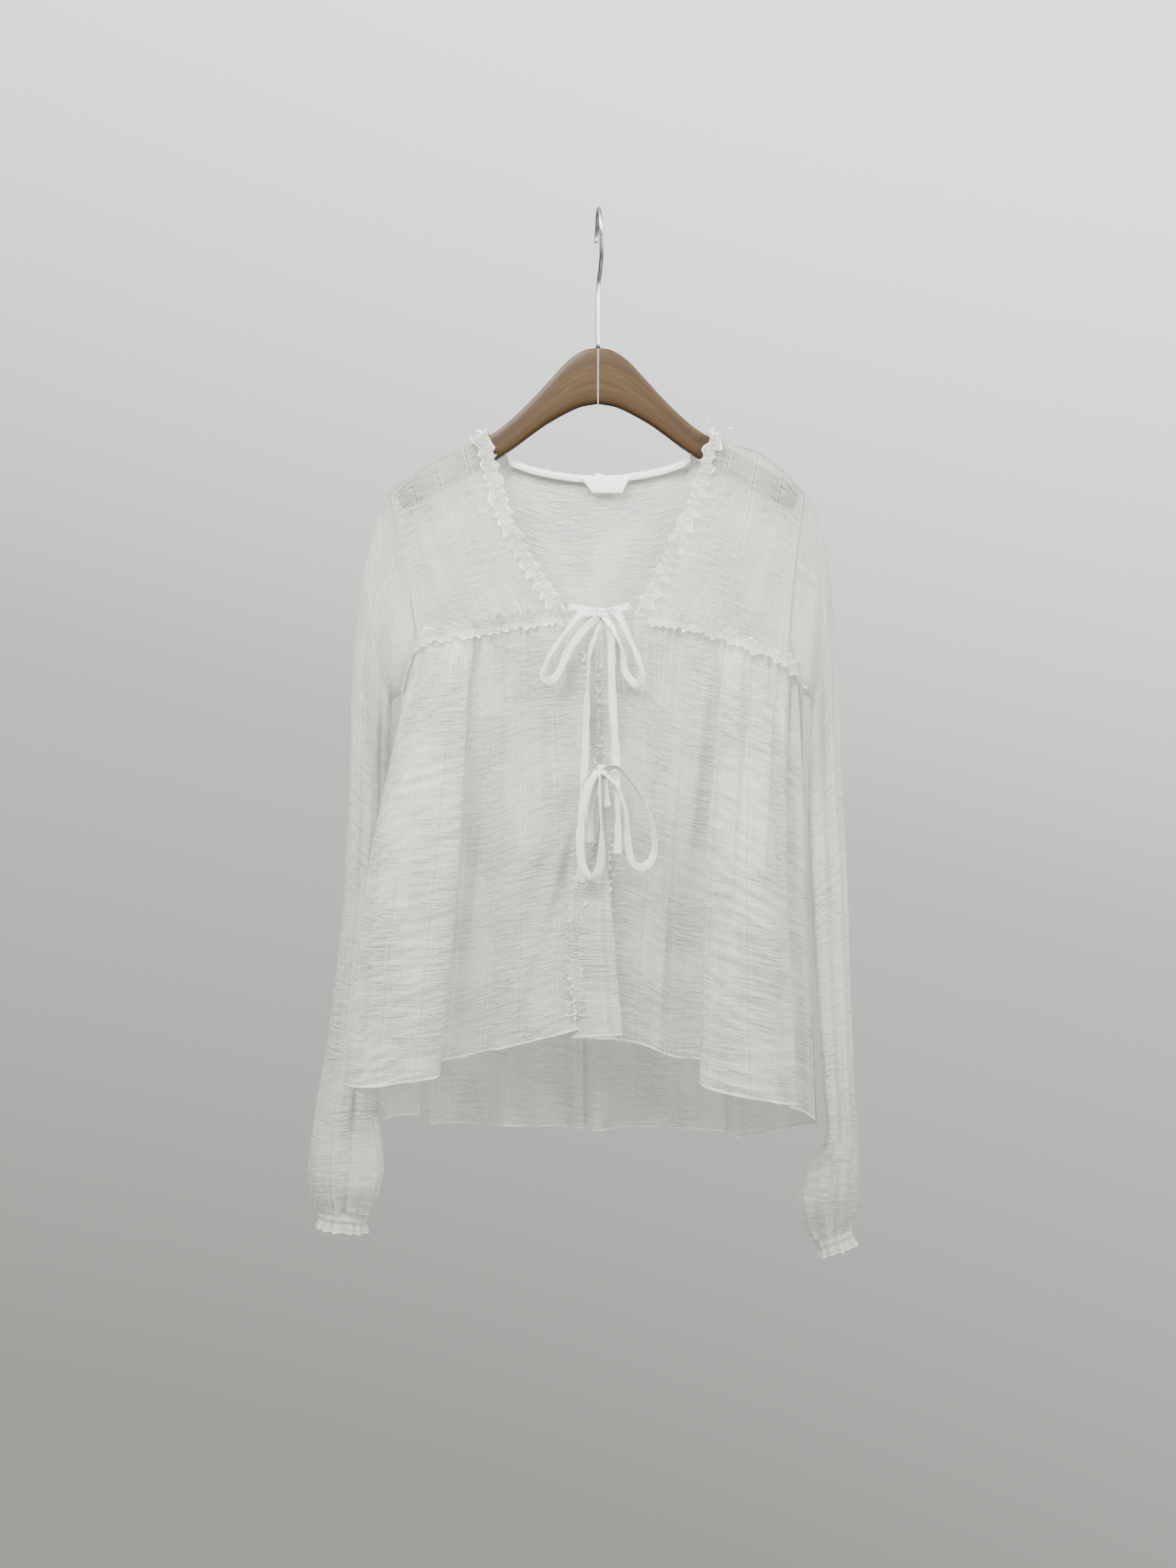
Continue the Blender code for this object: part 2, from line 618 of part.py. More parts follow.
def neck_label():
    data = bmesh.new()
    front = [data.verts.new(Vector((p.x, LABEL_FRONT_Y, p.z)) * MM) for p in LABEL]
    back = [data.verts.new(Vector((p.x, LABEL_BACK_Y, p.z)) * MM) for p in LABEL]
    data.faces.new(front)
    data.faces.new(back)
    for k in range(4):
        j = (k + 1) % 4
        data.faces.new((front[k], front[j], back[j], back[k]))
    return add_object("neck_label", data, TAPE)


# Ties: two bows of narrow ribbon, each route chosen by hand
def ribbon(name, route, pieces):
    """A flat strip along a smooth route, its width facing the viewer."""
    points = [Vector(p) for p in route]
    data = bmesh.new()
    rings = []
    for k in range(pieces + 1):
        share = k / pieces
        here = along(points, share)
        ahead = along(points, min(share + 0.01, 1)) - along(points, max(share - 0.01, 0))
        wide = ahead.cross(Vector((0, 1, 0))).normalized() * (RIBBON_WIDE / 2)
        thick = ahead.cross(wide).normalized() * (RIBBON_THICK / 2)
        corners = (here + wide + thick, here + wide - thick, here - wide - thick, here - wide + thick)
        rings.append([data.verts.new(c * MM) for c in corners])
    for ring, after in zip(rings, rings[1:]):
        for k in range(4):
            j = (k + 1) % 4
            data.faces.new((ring[k], ring[j], after[j], after[k]))
    data.faces.new(rings[0])
    data.faces.new(rings[-1])
    return add_object(name, data, COTTON)


def knot(name, middle, size):
    data = bmesh.new()
    bmesh.ops.create_uvsphere(data, u_segments=12, v_segments=8, radius=0.5)
    for vert in data.verts:
        vert.co = Vector([(m + c * w) * MM for m, c, w in zip(middle, vert.co, size)])
    return add_object(name, data, COTTON)


KNOT_TOP = (3.5, -25, -369)
KNOT_LOW = (3, -40.9, -510)
KNOT_SIZE = (15, 11, 14)
KNOT_CLEAR = 1.1
NECK_TIE_CLEAR = 0.6


def leave(middle, way, clear=KNOT_CLEAR):
    """Where a ribbon that leaves the knot in this direction starts, just clear of it."""
    aim = Vector(way).normalized()
    reach = 1 / sqrt(sum((2 * a / size) ** 2 for a, size in zip(aim, KNOT_SIZE)))
    return Vector(middle) + aim * (reach + clear)


NECK_TIE_LEFT = (leave(KNOT_TOP, (-1, 0.3, 0.1), NECK_TIE_CLEAR), (-11, -22.6, -367.6), (-17, -22, -367.3))
NECK_TIE_RIGHT = (leave(KNOT_TOP, (1, 0.35, 0.05), NECK_TIE_CLEAR), (18, -23, -368.4), (24, -22.4, -368.8))
LOOP_TOP_LEFT = (leave(KNOT_TOP, (-1, -0.25, 0.25)), (-16, -31, -371), (-30, -32, -387), (-44, -33, -408),
                 (-49.5, -33, -424), (-43, -33, -431), (-35, -33, -422), (-26, -32, -402), (-12, -31.5, -384),
                 leave(KNOT_TOP, (-0.6, -0.4, -0.8)))
LOOP_TOP_RIGHT = (leave(KNOT_TOP, (1, -0.25, 0.25)), (15.5, -28.5, -368), (21, -31, -376), (28, -32, -392),
                  (37, -32, -413), (40, -32, -427), (33, -32, -433), (24, -32, -421), (22, -32, -403),
                  (15, -31.5, -386), leave(KNOT_TOP, (0.55, -0.45, -0.8)))
TAIL_TOP_LEFT = (leave(KNOT_TOP, (-0.35, 0.25, -1)), (-3.5, -27, -388), (-8, -30.5, -408), (-10, -33, -435),
                 (-11, -35, -470), (-12, -38, -505), (-14, -41, -545), (-15, -43, -580), (-15, -43, -611))
TAIL_TOP_RIGHT = (leave(KNOT_TOP, (0.6, 0.2, -0.9)), (10.5, -27.5, -388), (12, -31, -405),
                  (12.5, -34.5, -440), (14.5, -38, -480), (16, -42, -510), (17, -46, -548), (17, -50, -585))
LOOP_LOW_LEFT = (leave(KNOT_LOW, (-0.8, -0.4, -0.3)), (-8, -46, -522), (-13, -48, -542), (-16, -49, -566),
                 (-15, -49, -590), (-7, -49, -606), (1, -49, -596), (3, -49, -572), (2, -47.5, -545),
                 (1.5, -46, -528), leave(KNOT_LOW, (-0.1, -0.45, -1)))
LOOP_LOW_RIGHT = (leave(KNOT_LOW, (1, -0.5, 0.3)), (14.5, -46.5, -507.5), (21, -47.5, -511), (31, -47, -523),
                  (40, -46, -538), (48, -46, -562), (49, -46, -584), (41, -46, -596), (30, -47, -592),
                  (26, -48, -572), (24.5, -49, -548), (18, -48.5, -527), (13, -47, -520),
                  leave(KNOT_LOW, (0.75, -0.6, -0.75)))
TAIL_LOW_LEFT = (leave(KNOT_LOW, (-0.5, 0.2, -1)), (-5, -39.5, -530), (-7.5, -41, -552), (-7.5, -43, -575))
TAIL_LOW_RIGHT = (leave(KNOT_LOW, (0.35, 0.1, -1)), (7, -41, -528), (8, -43.5, -543))


def ties():
    knot("knot_top", KNOT_TOP, KNOT_SIZE)
    knot("knot_low", KNOT_LOW, KNOT_SIZE)
    ribbon("neck_tie_left", NECK_TIE_LEFT, 3)
    ribbon("neck_tie_right", NECK_TIE_RIGHT, 3)
    ribbon("loop_top_left", LOOP_TOP_LEFT, 20)
    ribbon("loop_top_right", LOOP_TOP_RIGHT, 20)
    ribbon("tail_top_left", TAIL_TOP_LEFT, 12)
    ribbon("tail_top_right", TAIL_TOP_RIGHT, 12)
    ribbon("loop_low_left", LOOP_LOW_LEFT, 20)
    ribbon("loop_low_right", LOOP_LOW_RIGHT, 22)
    ribbon("tail_low_left", TAIL_LOW_LEFT, 5)
    ribbon("tail_low_right", TAIL_LOW_RIGHT, 4)


# Where each ruffle runs, as (s, v) on the surface that carries it
NECK_RUFFLE_HALF = 8
EDGE_RUFFLE_HALF = 5
EDGE_RUFFLE_WAVE = 1.3
YOKE_RUFFLE_LIFT = 2.5


def neck_path(t):
    return 0.05, between(0.93, 0.03, t)


def back_neck_path(t):
    return between(0.29, 0.72, t), 0.12


def left_yoke_path(t):
    return between(0.90, 0.25, t), 0.0


def right_yoke_path(t):
    return between(0.20, 0.72, t), 0.0


def left_edge_path(t):
    return 0.972, between(0.08, 0.97, t)


def right_edge_path(t):
    return 0.985, between(0.08, 0.97, t)


def build():
    start_empty()
    hanger_arm("hanger_arm_left", -1)
    hanger_arm("hanger_arm_right", 1)
    hanger_hook()
    left = skirt_surface(SKIRT_LEFT, EDGE_LEFT, GATHERS_LEFT)
    right = skirt_surface(SKIRT_RIGHT, EDGE_RIGHT, GATHERS_RIGHT)
    yoke("yoke_left", YOKE_LEFT, 1)
    yoke("yoke_right", YOKE_RIGHT, -1)
    skirt_front("front_left", left, SKIRT_LEFT_COLUMNS, -1)
    skirt_front("front_right", right, SKIRT_RIGHT_COLUMNS, 1)
    back_panel()
    sleeve("sleeve_left", -1, SLEEVE_LEFT)
    sleeve("sleeve_right", 1, SLEEVE_RIGHT)
    cuff("cuff_left", -1, SLEEVE_LEFT[-1])
    cuff("cuff_right", 1, SLEEVE_RIGHT[-1])
    neck_band()
    neck_label()
    ruffle("neck_ruffle_left", yoke_surface(YOKE_LEFT), neck_path, NECK_RUFFLE_HALF, 16, 1)
    ruffle("neck_ruffle_right", yoke_surface(YOKE_RIGHT), neck_path, NECK_RUFFLE_HALF, 16, -1)
    ruffle("neck_ruffle_back", back_surface, back_neck_path, NECK_RUFFLE_HALF, 17, 1)
    lift = YOKE_RUFFLE_LIFT
    ruffle("yoke_ruffle_left", left, left_yoke_path, NECK_RUFFLE_HALF, 13, -1, far_lift=lift)
    ruffle("yoke_ruffle_right", right, right_yoke_path, NECK_RUFFLE_HALF, 14, 1, far_lift=lift)
    ruffle("edge_ruffle_left", left, left_edge_path, EDGE_RUFFLE_HALF, 20, -1, EDGE_RUFFLE_WAVE)
    ruffle("edge_ruffle_right", right, right_edge_path, EDGE_RUFFLE_HALF, 20, 1, EDGE_RUFFLE_WAVE)
    ties()


build()
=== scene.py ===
"""Frill blouse in sheer cotton, hung on a wooden hanger: the finish of every piece.

Sizes are in millimetres in the part's own frame and are scaled to metres in each mesh.
The origin is where the hook rests on its rail: +X right, +Y away from the viewer, +Z up.
"""
from collections import namedtuple
from math import asin, cos, exp, pi, radians, sin, sqrt

import bmesh
import bpy
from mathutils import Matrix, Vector
from mathutils import noise as smooth_noise


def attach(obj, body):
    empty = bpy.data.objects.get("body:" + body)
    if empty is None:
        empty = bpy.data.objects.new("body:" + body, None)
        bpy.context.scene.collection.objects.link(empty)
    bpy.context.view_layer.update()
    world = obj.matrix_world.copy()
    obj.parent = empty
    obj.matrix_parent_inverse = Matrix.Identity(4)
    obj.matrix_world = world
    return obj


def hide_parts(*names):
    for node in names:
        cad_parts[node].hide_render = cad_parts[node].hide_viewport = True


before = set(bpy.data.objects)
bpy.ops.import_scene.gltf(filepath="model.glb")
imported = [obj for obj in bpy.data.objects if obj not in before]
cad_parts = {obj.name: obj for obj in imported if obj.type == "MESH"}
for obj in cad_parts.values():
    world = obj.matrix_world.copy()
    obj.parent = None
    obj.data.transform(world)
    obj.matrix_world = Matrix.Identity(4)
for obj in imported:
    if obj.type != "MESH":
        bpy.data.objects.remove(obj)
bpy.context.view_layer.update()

# The view: a level camera 1.5 m in front of the hanger, a little left of its middle,
# with a grey studio backdrop behind, painted lighter above and to the right and darker below
# as painted light and shade on the wall, and a pale floor disc well below the hem.
MM = 0.001
CAMERA_PLACE = Vector((-9.2, -1500, -522.3))
FRAME_HEIGHT = 1432
SENSOR = 36
WALL_BRIGHTNESS = 2.0
WALL_LIGHT = 0.8
# Painted light and shade on the backdrop: lighter to the right by this lean, and through these greys from
# dark below to light above
WALL_LEAN = 0.27
WALL_SPAN = 0.40
WALL_PAINTED_SHADE_GREYS = ("7c7e79", "a9aaa6", "ffffff")


def linear(hex_colour):
    """An sRGB hex colour as linear red, green, blue and alpha."""
    shares = [int(hex_colour[k:k + 2], 16) / 255 for k in (0, 2, 4)]
    return [c / 12.92 if c <= 0.04045 else ((c + 0.055) / 1.055) ** 2.4 for c in shares] + [1.0]


def set_inputs(tree, node, inputs):
    """Inputs in their order, or by number or name: values, output sockets, or nodes to link."""
    for key, value in enumerate(inputs) if isinstance(inputs, tuple) else inputs.items():
        if isinstance(value, bpy.types.Node):
            value = value.outputs[0]
        if isinstance(value, bpy.types.NodeSocket):
            tree.links.new(value, node.inputs[key])
        else:
            node.inputs[key].default_value = value


def add_node(tree, kind, inputs=(), **settings):
    """Adds a shader node with its settings, values and links."""
    node = tree.nodes.new("ShaderNode" + kind)
    for name, value in settings.items():
        setattr(node, name, value)
    set_inputs(tree, node, inputs)
    return node


camera_data = bpy.data.cameras.new("front_camera")
camera_data.sensor_width = SENSOR
camera_data.lens = SENSOR * -CAMERA_PLACE.y / FRAME_HEIGHT
camera = bpy.data.objects.new("front_camera", camera_data)
camera.location = CAMERA_PLACE * MM
camera.rotation_euler = (radians(90), 0, 0)
bpy.context.scene.collection.objects.link(camera)
bpy.context.scene.camera = camera

world = bpy.data.worlds.new("studio_grey")
bpy.context.scene.world = world
world.use_nodes = True
air = world.node_tree
# The backdrop's painted shade: darker below and to the left, lighter above and to the right; the camera
# sees it brighter than the light it casts on the blouse
direction = add_node(air, "TexCoord")
height = add_node(air, "SeparateXYZ", {0: direction.outputs["Generated"]})
lean = add_node(air, "Math", (height.outputs["X"], WALL_LEAN, height.outputs["Z"]),
                operation="MULTIPLY_ADD")
shade = add_node(air, "MapRange", (lean, -WALL_SPAN, WALL_SPAN, 0.0, 1.0))
grey = add_node(air, "ValToRGB", {0: shade})
grey.color_ramp.elements[0].color = linear(WALL_PAINTED_SHADE_GREYS[0])
grey.color_ramp.elements[1].color = linear(WALL_PAINTED_SHADE_GREYS[2])
grey.color_ramp.elements.new(0.5).color = linear(WALL_PAINTED_SHADE_GREYS[1])
seen = add_node(air, "LightPath").outputs["Is Camera Ray"]
strength = add_node(air, "MapRange", {0: seen, 3: WALL_LIGHT, 4: WALL_BRIGHTNESS})
set_inputs(air, air.nodes["Background"], {"Color": grey, "Strength": strength})


def rows(kind, *table):
    """Each row of the table as a named tuple of this kind."""
    return [kind(*row) for row in table]


LightPlan = namedtuple("LightPlan", "name place aim size watts")
LIGHTS = rows(
    LightPlan,
    ("key_softbox", (-600, -850, 640), (0, 0, -420), 900, 72),
    ("right_softbox", (1150, -900, 420), (0, 0, -450), 800, 52),
    ("back_softbox", (500, 1300, 500), (0, 0, -500), 1200, 22),
)
for plan in LIGHTS:
    lamp = bpy.data.lights.new(plan.name, "AREA")
    lamp.size = plan.size * MM
    lamp.energy = plan.watts
    holder = bpy.data.objects.new(plan.name, lamp)
    holder.location = Vector(plan.place) * MM
    holder.rotation_euler = (Vector(plan.aim) - Vector(plan.place)).to_track_quat("-Z", "Y").to_euler()
    bpy.context.scene.collection.objects.link(holder)

FLOOR_DOWN = 1800
FLOOR_RADIUS = 1000
FLOOR_GREY = "c9cacb"
FLOOR_ROUGHNESS = 0.8
floor_mesh = bmesh.new()
bmesh.ops.create_circle(floor_mesh, cap_ends=True, segments=96, radius=FLOOR_RADIUS * MM)
bmesh.ops.translate(floor_mesh, verts=floor_mesh.verts, vec=(0, 0, -FLOOR_DOWN * MM))
floor_data = bpy.data.meshes.new("floor")
floor_mesh.to_mesh(floor_data)
floor_mesh.free()
floor = bpy.data.objects.new("floor", floor_data)
bpy.context.scene.collection.objects.link(floor)
paint = bpy.data.materials.new("matt_floor_paint")
paint.use_nodes = True
set_inputs(paint.node_tree, paint.node_tree.nodes["Principled BSDF"],
           {"Base Color": linear(FLOOR_GREY), "Roughness": FLOOR_ROUGHNESS})
floor_data.materials.append(paint)

# Hanger arms: beech, sawn flat, sanded round along the edges and lacquered. The two arms meet
# in a glued joint at the middle, and each tip lies inside a shoulder of the blouse.
HANGER_THICK = 11
HANGER_CORNER = 5
HANGER_UPPER = [Vector((x, 0, z)) for x, z in (
    (0.4, -124.5), (12, -126.5), (27, -136), (44, -154), (60, -171.5), (77, -188), (94, -201.5),
    (125, -218.8), (160, -239.5), (178, -250.5), (182, -257))]
HANGER_LOWER = [Vector((x, 0, z)) for x, z in (
    (0.4, -175), (19, -179), (44, -192), (60, -203), (84, -220.5), (115, -238.5), (145, -255),
    (175, -270), (181, -266))]
ARM_LENGTH = 240
ARM_GIRTH = 110
ARM_SPANS = (40, 90)
GRAIN_SCALE = (0.9, 0.012, 1)
FLECK_SCALE = (1.6, 0.18, 1)
WOOD_BROWNS = ("2e1f0b", "4b3413")
FLECK_BROWN = "33261a"


def between(low, high, share):
    return low + (high - low) * share


def limit(value, low=0.0, high=1.0):
    return min(max(value, low), high)


def along(points, share):
    """A Catmull-Rom curve through the points, share from 0 to 1."""
    last = len(points) - 1
    place = limit(share) * last
    index = min(int(place), last - 1)
    t = place - index
    b, c = points[index], points[index + 1]
    a = points[index - 1] if index > 0 else b * 2 - c
    d = points[index + 2] if index + 2 <= last else c * 2 - b
    return (b * 2 + (c - a) * t + (a * 2 - b * 5 + c * 4 - d) * t * t
            + (b * 3 - a - c * 3 + d) * t * t * t) * 0.5


def bent_grid(name, surface, spans, flat, outward, tube=False):
    """A flat grid bent to surface(s, v), both 0 to 1, with its flat size in mm as its UV map."""
    data = bmesh.new()
    bmesh.ops.create_grid(data, x_segments=spans[0], y_segments=spans[1], size=0.5)
    cut = data.loops.layers.uv.new("cut")
    for face in data.faces:
        for loop in face.loops:
            loop[cut].uv = ((loop.vert.co.x + 0.5) * flat[0], (loop.vert.co.y + 0.5) * flat[1])
    for vert in data.verts:
        vert.co = surface(vert.co.x + 0.5, 0.5 - vert.co.y) * MM
    if tube:
        bmesh.ops.remove_doubles(data, verts=data.verts, dist=1e-6)
    if outward > 0:
        bmesh.ops.reverse_faces(data, faces=data.faces)
    return as_piece(name, data)


def as_piece(name, data):
    mesh = bpy.data.meshes.new(name)
    data.to_mesh(mesh)
    data.free()
    mesh.shade_smooth()
    piece = bpy.data.objects.new(name, mesh)
    bpy.context.scene.collection.objects.link(piece)
    return piece


def close_ends(piece):
    """Fills the open ends of a tube."""
    data = bmesh.new()
    data.from_mesh(piece.data)
    rims = [edge for edge in data.edges if edge.is_boundary]
    caps = bmesh.ops.holes_fill(data, edges=rims)["faces"]
    for face in caps:
        face.smooth = False
    data.to_mesh(piece.data)
    data.free()


def fit_piece(piece, node, finish):
    piece.data.materials.append(finish)
    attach(piece, "root")
    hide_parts(node)


def squared(value, power):
    """A sine or cosine pushed out towards the corners of a rounded rectangle."""
    return abs(value) ** (2 / power) * (1 if value >= 0 else -1)


def arm_surface(hand):
    def surface(s, v):
        turn = 2 * pi * s
        top, low = along(HANGER_UPPER, v), along(HANGER_LOWER, v)
        place = (top + low) / 2 + (top - low) / 2 * squared(cos(turn), HANGER_CORNER)
        return Vector((place.x * hand, HANGER_THICK / 2 * squared(sin(turn), HANGER_CORNER), place.z))
    return surface


def start_finish(name):
    """A new material, its node tree, and the piece's UV map, which is its flat cut in mm."""
    made = bpy.data.materials.new(name)
    made.use_nodes = True
    return made, made.node_tree, add_node(made.node_tree, "UVMap", uv_map="cut")


def beech():
    """Lacquered beech: warm brown, with fine grain along the arm and short darker flecks."""
    made, tree, flat = start_finish("beech_lacquered")
    grain_place = add_node(tree, "Mapping", {0: flat, 3: GRAIN_SCALE})
    grain = add_node(tree, "TexNoise", {"Vector": grain_place, "Scale": 1, "Detail": 6, "Distortion": 0.6})
    fleck_place = add_node(tree, "Mapping", {0: flat, 3: FLECK_SCALE})
    fleck = add_node(tree, "TexNoise", {"Vector": fleck_place, "Scale": 1, "Detail": 2})
    flecks = add_node(tree, "MapRange", (fleck, 0.62, 0.72, 0, 0.35))
    wood = add_node(tree, "ValToRGB", {0: grain})
    for end, brown, place in zip(wood.color_ramp.elements, WOOD_BROWNS, (0.3, 0.75)):
        end.color = linear(brown)
        end.position = place
    colour = add_node(tree, "Mix", {0: flecks, 6: wood, 7: linear(FLECK_BROWN)}, data_type="RGBA")
    relief = add_node(tree, "Bump", {"Height": grain, "Strength": 0.25, "Distance": 0.0003})
    set_inputs(tree, tree.nodes["Principled BSDF"], {
        "Base Color": colour.outputs[2], "Normal": relief, "Roughness": 0.5,
        "Specular IOR Level": 0.3, "Coat Weight": 0.08, "Coat Roughness": 0.35})
    return made


wood_finish = beech()
HANDS = (("left", -1), ("right", 1))
for side, hand in HANDS:
    cut = (ARM_GIRTH, ARM_LENGTH)
    arm = bent_grid("beech_arm_" + side, arm_surface(hand), ARM_SPANS, cut, hand, tube=True)
    close_ends(arm)
    fit_piece(arm, "hanger_arm_" + side, wood_finish)

# Hook: one length of 4 mm steel wire, bent cold to a round hook and screwed into the joint
# of the arms. It is seen nearly edge-on, because the hook lies across the rail.
HOOK_WIRE = 4
HOOK_INSIDE = 42
HOOK_TURN = 200
HOOK_ARC_STEPS = 14
HOOK_STEM = [Vector((0, 0, -124.1)), Vector((0, 0, -92)), Vector((0.5, 0, -66)), Vector((2, -7, -55)),
             Vector((3, -17, -44))]
HOOK_LEAN = (3, -1.5)
HOOK_LENGTH = 190
HOOK_SPANS = (20, 220)
HOOK_STEP = 0.004
STEEL_GREY = "b9b7b2"


def hook_route():
    radius = (HOOK_INSIDE + HOOK_WIRE) / 2
    route = list(HOOK_STEM)
    for step in range(HOOK_ARC_STEPS + 1):
        share = step / HOOK_ARC_STEPS
        turn = radians(HOOK_TURN * (1 - share))
        lean = between(HOOK_LEAN[0], HOOK_LEAN[1], share)
        route.append(Vector((lean, radius * cos(turn), HOOK_WIRE / 2 - radius + radius * sin(turn))))
    return route


def round_tube(route, radius_at):
    """Surface of a tube along a smooth route; radius_at(v) gives its radius."""
    def surface(s, v):
        ahead = (along(route, min(v + HOOK_STEP, 1)) - along(route, max(v - HOOK_STEP, 0))).normalized()
        side = ahead.cross(Vector((1, 0, 0))).normalized()
        other = ahead.cross(side)
        turn = 2 * pi * s
        return along(route, v) + (side * cos(turn) + other * sin(turn)) * radius_at(v)
    return surface


def steel():
    """Drawn steel wire, nickel plated and brushed: pale grey metal with fine rings round it."""
    made, tree, flat = start_finish("steel_wire_brushed")
    brushed = add_node(tree, "Mapping", {0: flat, 3: (0.1, 0.6, 1)})
    marks = add_node(tree, "TexNoise", {"Vector": brushed, "Scale": 1, "Detail": 2})
    rough = add_node(tree, "MapRange", (marks, 0.3, 0.7, 0.32, 0.4))
    set_inputs(tree, tree.nodes["Principled BSDF"], {
        "Roughness": rough, "Base Color": linear(STEEL_GREY), "Metallic": 1.0})
    return made


def wire_radius(v):
    """Full along the wire, with the free end rounded over its last few millimetres."""
    left = (1 - v) * HOOK_LENGTH
    return HOOK_WIRE / 2 * sqrt(limit(left / (HOOK_WIRE / 2) + 0.05))


cut = (pi * HOOK_WIRE, HOOK_LENGTH)
hook = bent_grid("steel_hook", round_tube(hook_route(), wire_radius), HOOK_SPANS, cut, -1, tube=True)
close_ends(hook)
fit_piece(hook, "hanger_hook", steel())

# Back panel: one wide piece of sheer cotton, cut with a curved neck, rolled over the hanger at
# the shoulders and hanging to a curved hem. It is the longest layer and shows below the fronts.
Side = namedtuple("Side", "z left right left_depth right_depth")
SIDES = rows(
    Side,
    (-258, -189, 187, 8, 8),
    (-300, -180, 182, 9, 9),
    (-345, -171, 177, 10, 10),
    (-390, -164.5, 174, 12, 11),
    (-425, -174, 181.5, 6.5, 6.5),
    (-435, -177, 185.5, 4.2, 4.2),
    (-440, -179, 187, 0.8, 0.8),
    (-540, -182, 187, 0.8, 2),
    (-640, -186, 189, 0.8, 5),
    (-740, -190, 194, 0.8, 9),
    (-845, -195, 203, 0.8, 14),
)
YokeLine = namedtuple("YokeLine", "ridge_x ridge_z mid seam")
YOKE_LEFT = rows(
    YokeLine,
    (-100, -200, (-76, -12, -288), (-27, -18, -369)),
    (-122, -212.5, (-99, -12.5, -298), (-66, -17, -374)),
    (-150, -228.5, (-128, -12, -311), (-103, -16, -380)),
    (-172, -241, (-152, -11, -324), (-135, -14.5, -386)),
    (-188.4, -254, (-174, -10, -334), (-163.5, -12, -390)),
)
YOKE_RIGHT = rows(
    YokeLine,
    (102, -200.5, (71, -12, -293), (32, -18, -372)),
    (122, -210, (98, -12.5, -298), (62, -17, -375)),
    (147, -219, (130, -12, -312), (100, -16, -382)),
    (171, -236, (154, -11, -330), (136, -14.5, -398)),
    (186.6, -255.5, (176.5, -10, -345), (171.5, -11, -410)),
)
SHOULDER_ROLL = 7.2
BackDepth = namedtuple("BackDepth", "z depth")
BACK_DEPTHS = rows(BackDepth, (-200, 9), (-250, 12), (-345, 16), (-440, 22), (-640, 36), (-850, 44))
BackFold = namedtuple("BackFold", "place width depth")
BACK_FOLDS = rows(
    BackFold,
    (-0.62, 0.16, 6), (-0.22, 0.12, 8), (-0.02, 0.07, -14), (0.16, 0.12, 7), (0.58, 0.13, 10),
    (0.80, 0.08, -6),
)
NeckStep = namedtuple("NeckStep", "x y z")
BACK_NECK = rows(
    NeckStep,
    (0, 11, -239), (21, 10.8, -238), (42, 10.4, -235), (60, 9.8, -231), (78, 9, -225), (90, 8.4, -215),
    (97.2, 7.6, -206), (98.8, 4.5, -201.7), (100, 0.5, -200),
)
NECK_RIGHT_SCALE = 1.02
Crease = namedtuple("Crease", "s_top v_top s_low v_low width lift")
BACK_CREASES = rows(
    Crease,
    (0.12, 0.20, 0.17, 0.95, 0.018, 3.5), (0.24, 0.30, 0.27, 1.05, 0.014, -3.0),
    (0.33, 0.18, 0.31, 0.80, 0.020, 3.0), (0.41, 0.35, 0.43, 1.05, 0.012, 2.5),
    (0.56, 0.22, 0.55, 0.85, 0.016, -2.5), (0.64, 0.30, 0.68, 1.05, 0.015, 3.0),
    (0.73, 0.20, 0.75, 0.90, 0.020, -3.0), (0.86, 0.28, 0.84, 1.05, 0.016, 3.5),
    (0.438, 0.60, 0.437, 1.05, 0.007, -6.0), (0.466, 0.60, 0.465, 1.05, 0.006, 9.0),
    (0.80, 0.62, 0.80, 1.05, 0.006, 5.0), (0.825, 0.62, 0.825, 1.05, 0.014, -6.0),
    (0.075, 0.70, 0.070, 1.05, 0.008, 6.0), (0.10, 0.70, 0.098, 1.05, 0.009, -6.0),
)
BACK_FLAT = (420, 650)
BACK_ROLL_END = 0.12
BACK_SIDE_ROUNDING = 8
BACK_HEM_Z = -846
BACK_HEM_RISE = 9
BACK_HEM_LEFT_LIFT = 8
BACK_HEM_LEFT_START = -0.85
BACK_HEM_DIP = 8
BACK_HEM_DIP_PLACE = 0.62
BACK_HEM_DIP_WIDTH = 0.2
# The hem steps down where a fold at the right lies over the rest of the back
BACK_STEP = 5.0
BACK_STEP_PLACE = 0.806
BACK_STEP_WIDTH = 0.003
# Where down the piece the cloth hangs free, crinkles and steps: start, and way to its full size
BACK_FREE = (0.16, 0.2)
BACK_CRINKLED = (0.1, 0.1)
BACK_STEPPED = (0.7, 0.3)
BACK_SEAM_HOLD = 12
BACK_STEP_HOLD = 14
# Soft waves and crinkle: height in mm, and bumps across and down the piece
Waves = namedtuple("Waves", "tall across down")
BACK_WAVES = Waves(1.6, 26, 2.5)
BACK_CRINKLE = Waves(0.6, 40, 60)
BACK_SPANS = (230, 190)


def at_height(table, z, column):
    """Straight-line reading of one named column of a table sorted from the top down."""
    if z >= table[0].z:
        return getattr(table[0], column)
    for upper, lower in zip(table, table[1:]):
        if z >= lower.z:
            share = (upper.z - z) / (upper.z - lower.z)
            return between(getattr(upper, column), getattr(lower, column), share)
    return getattr(table[-1], column)


def side_point(hand, z):
    return at_height(SIDES, z, "left" if hand < 0 else "right")


def side_depth(hand, z):
    return at_height(SIDES, z, "left_depth" if hand < 0 else "right_depth")


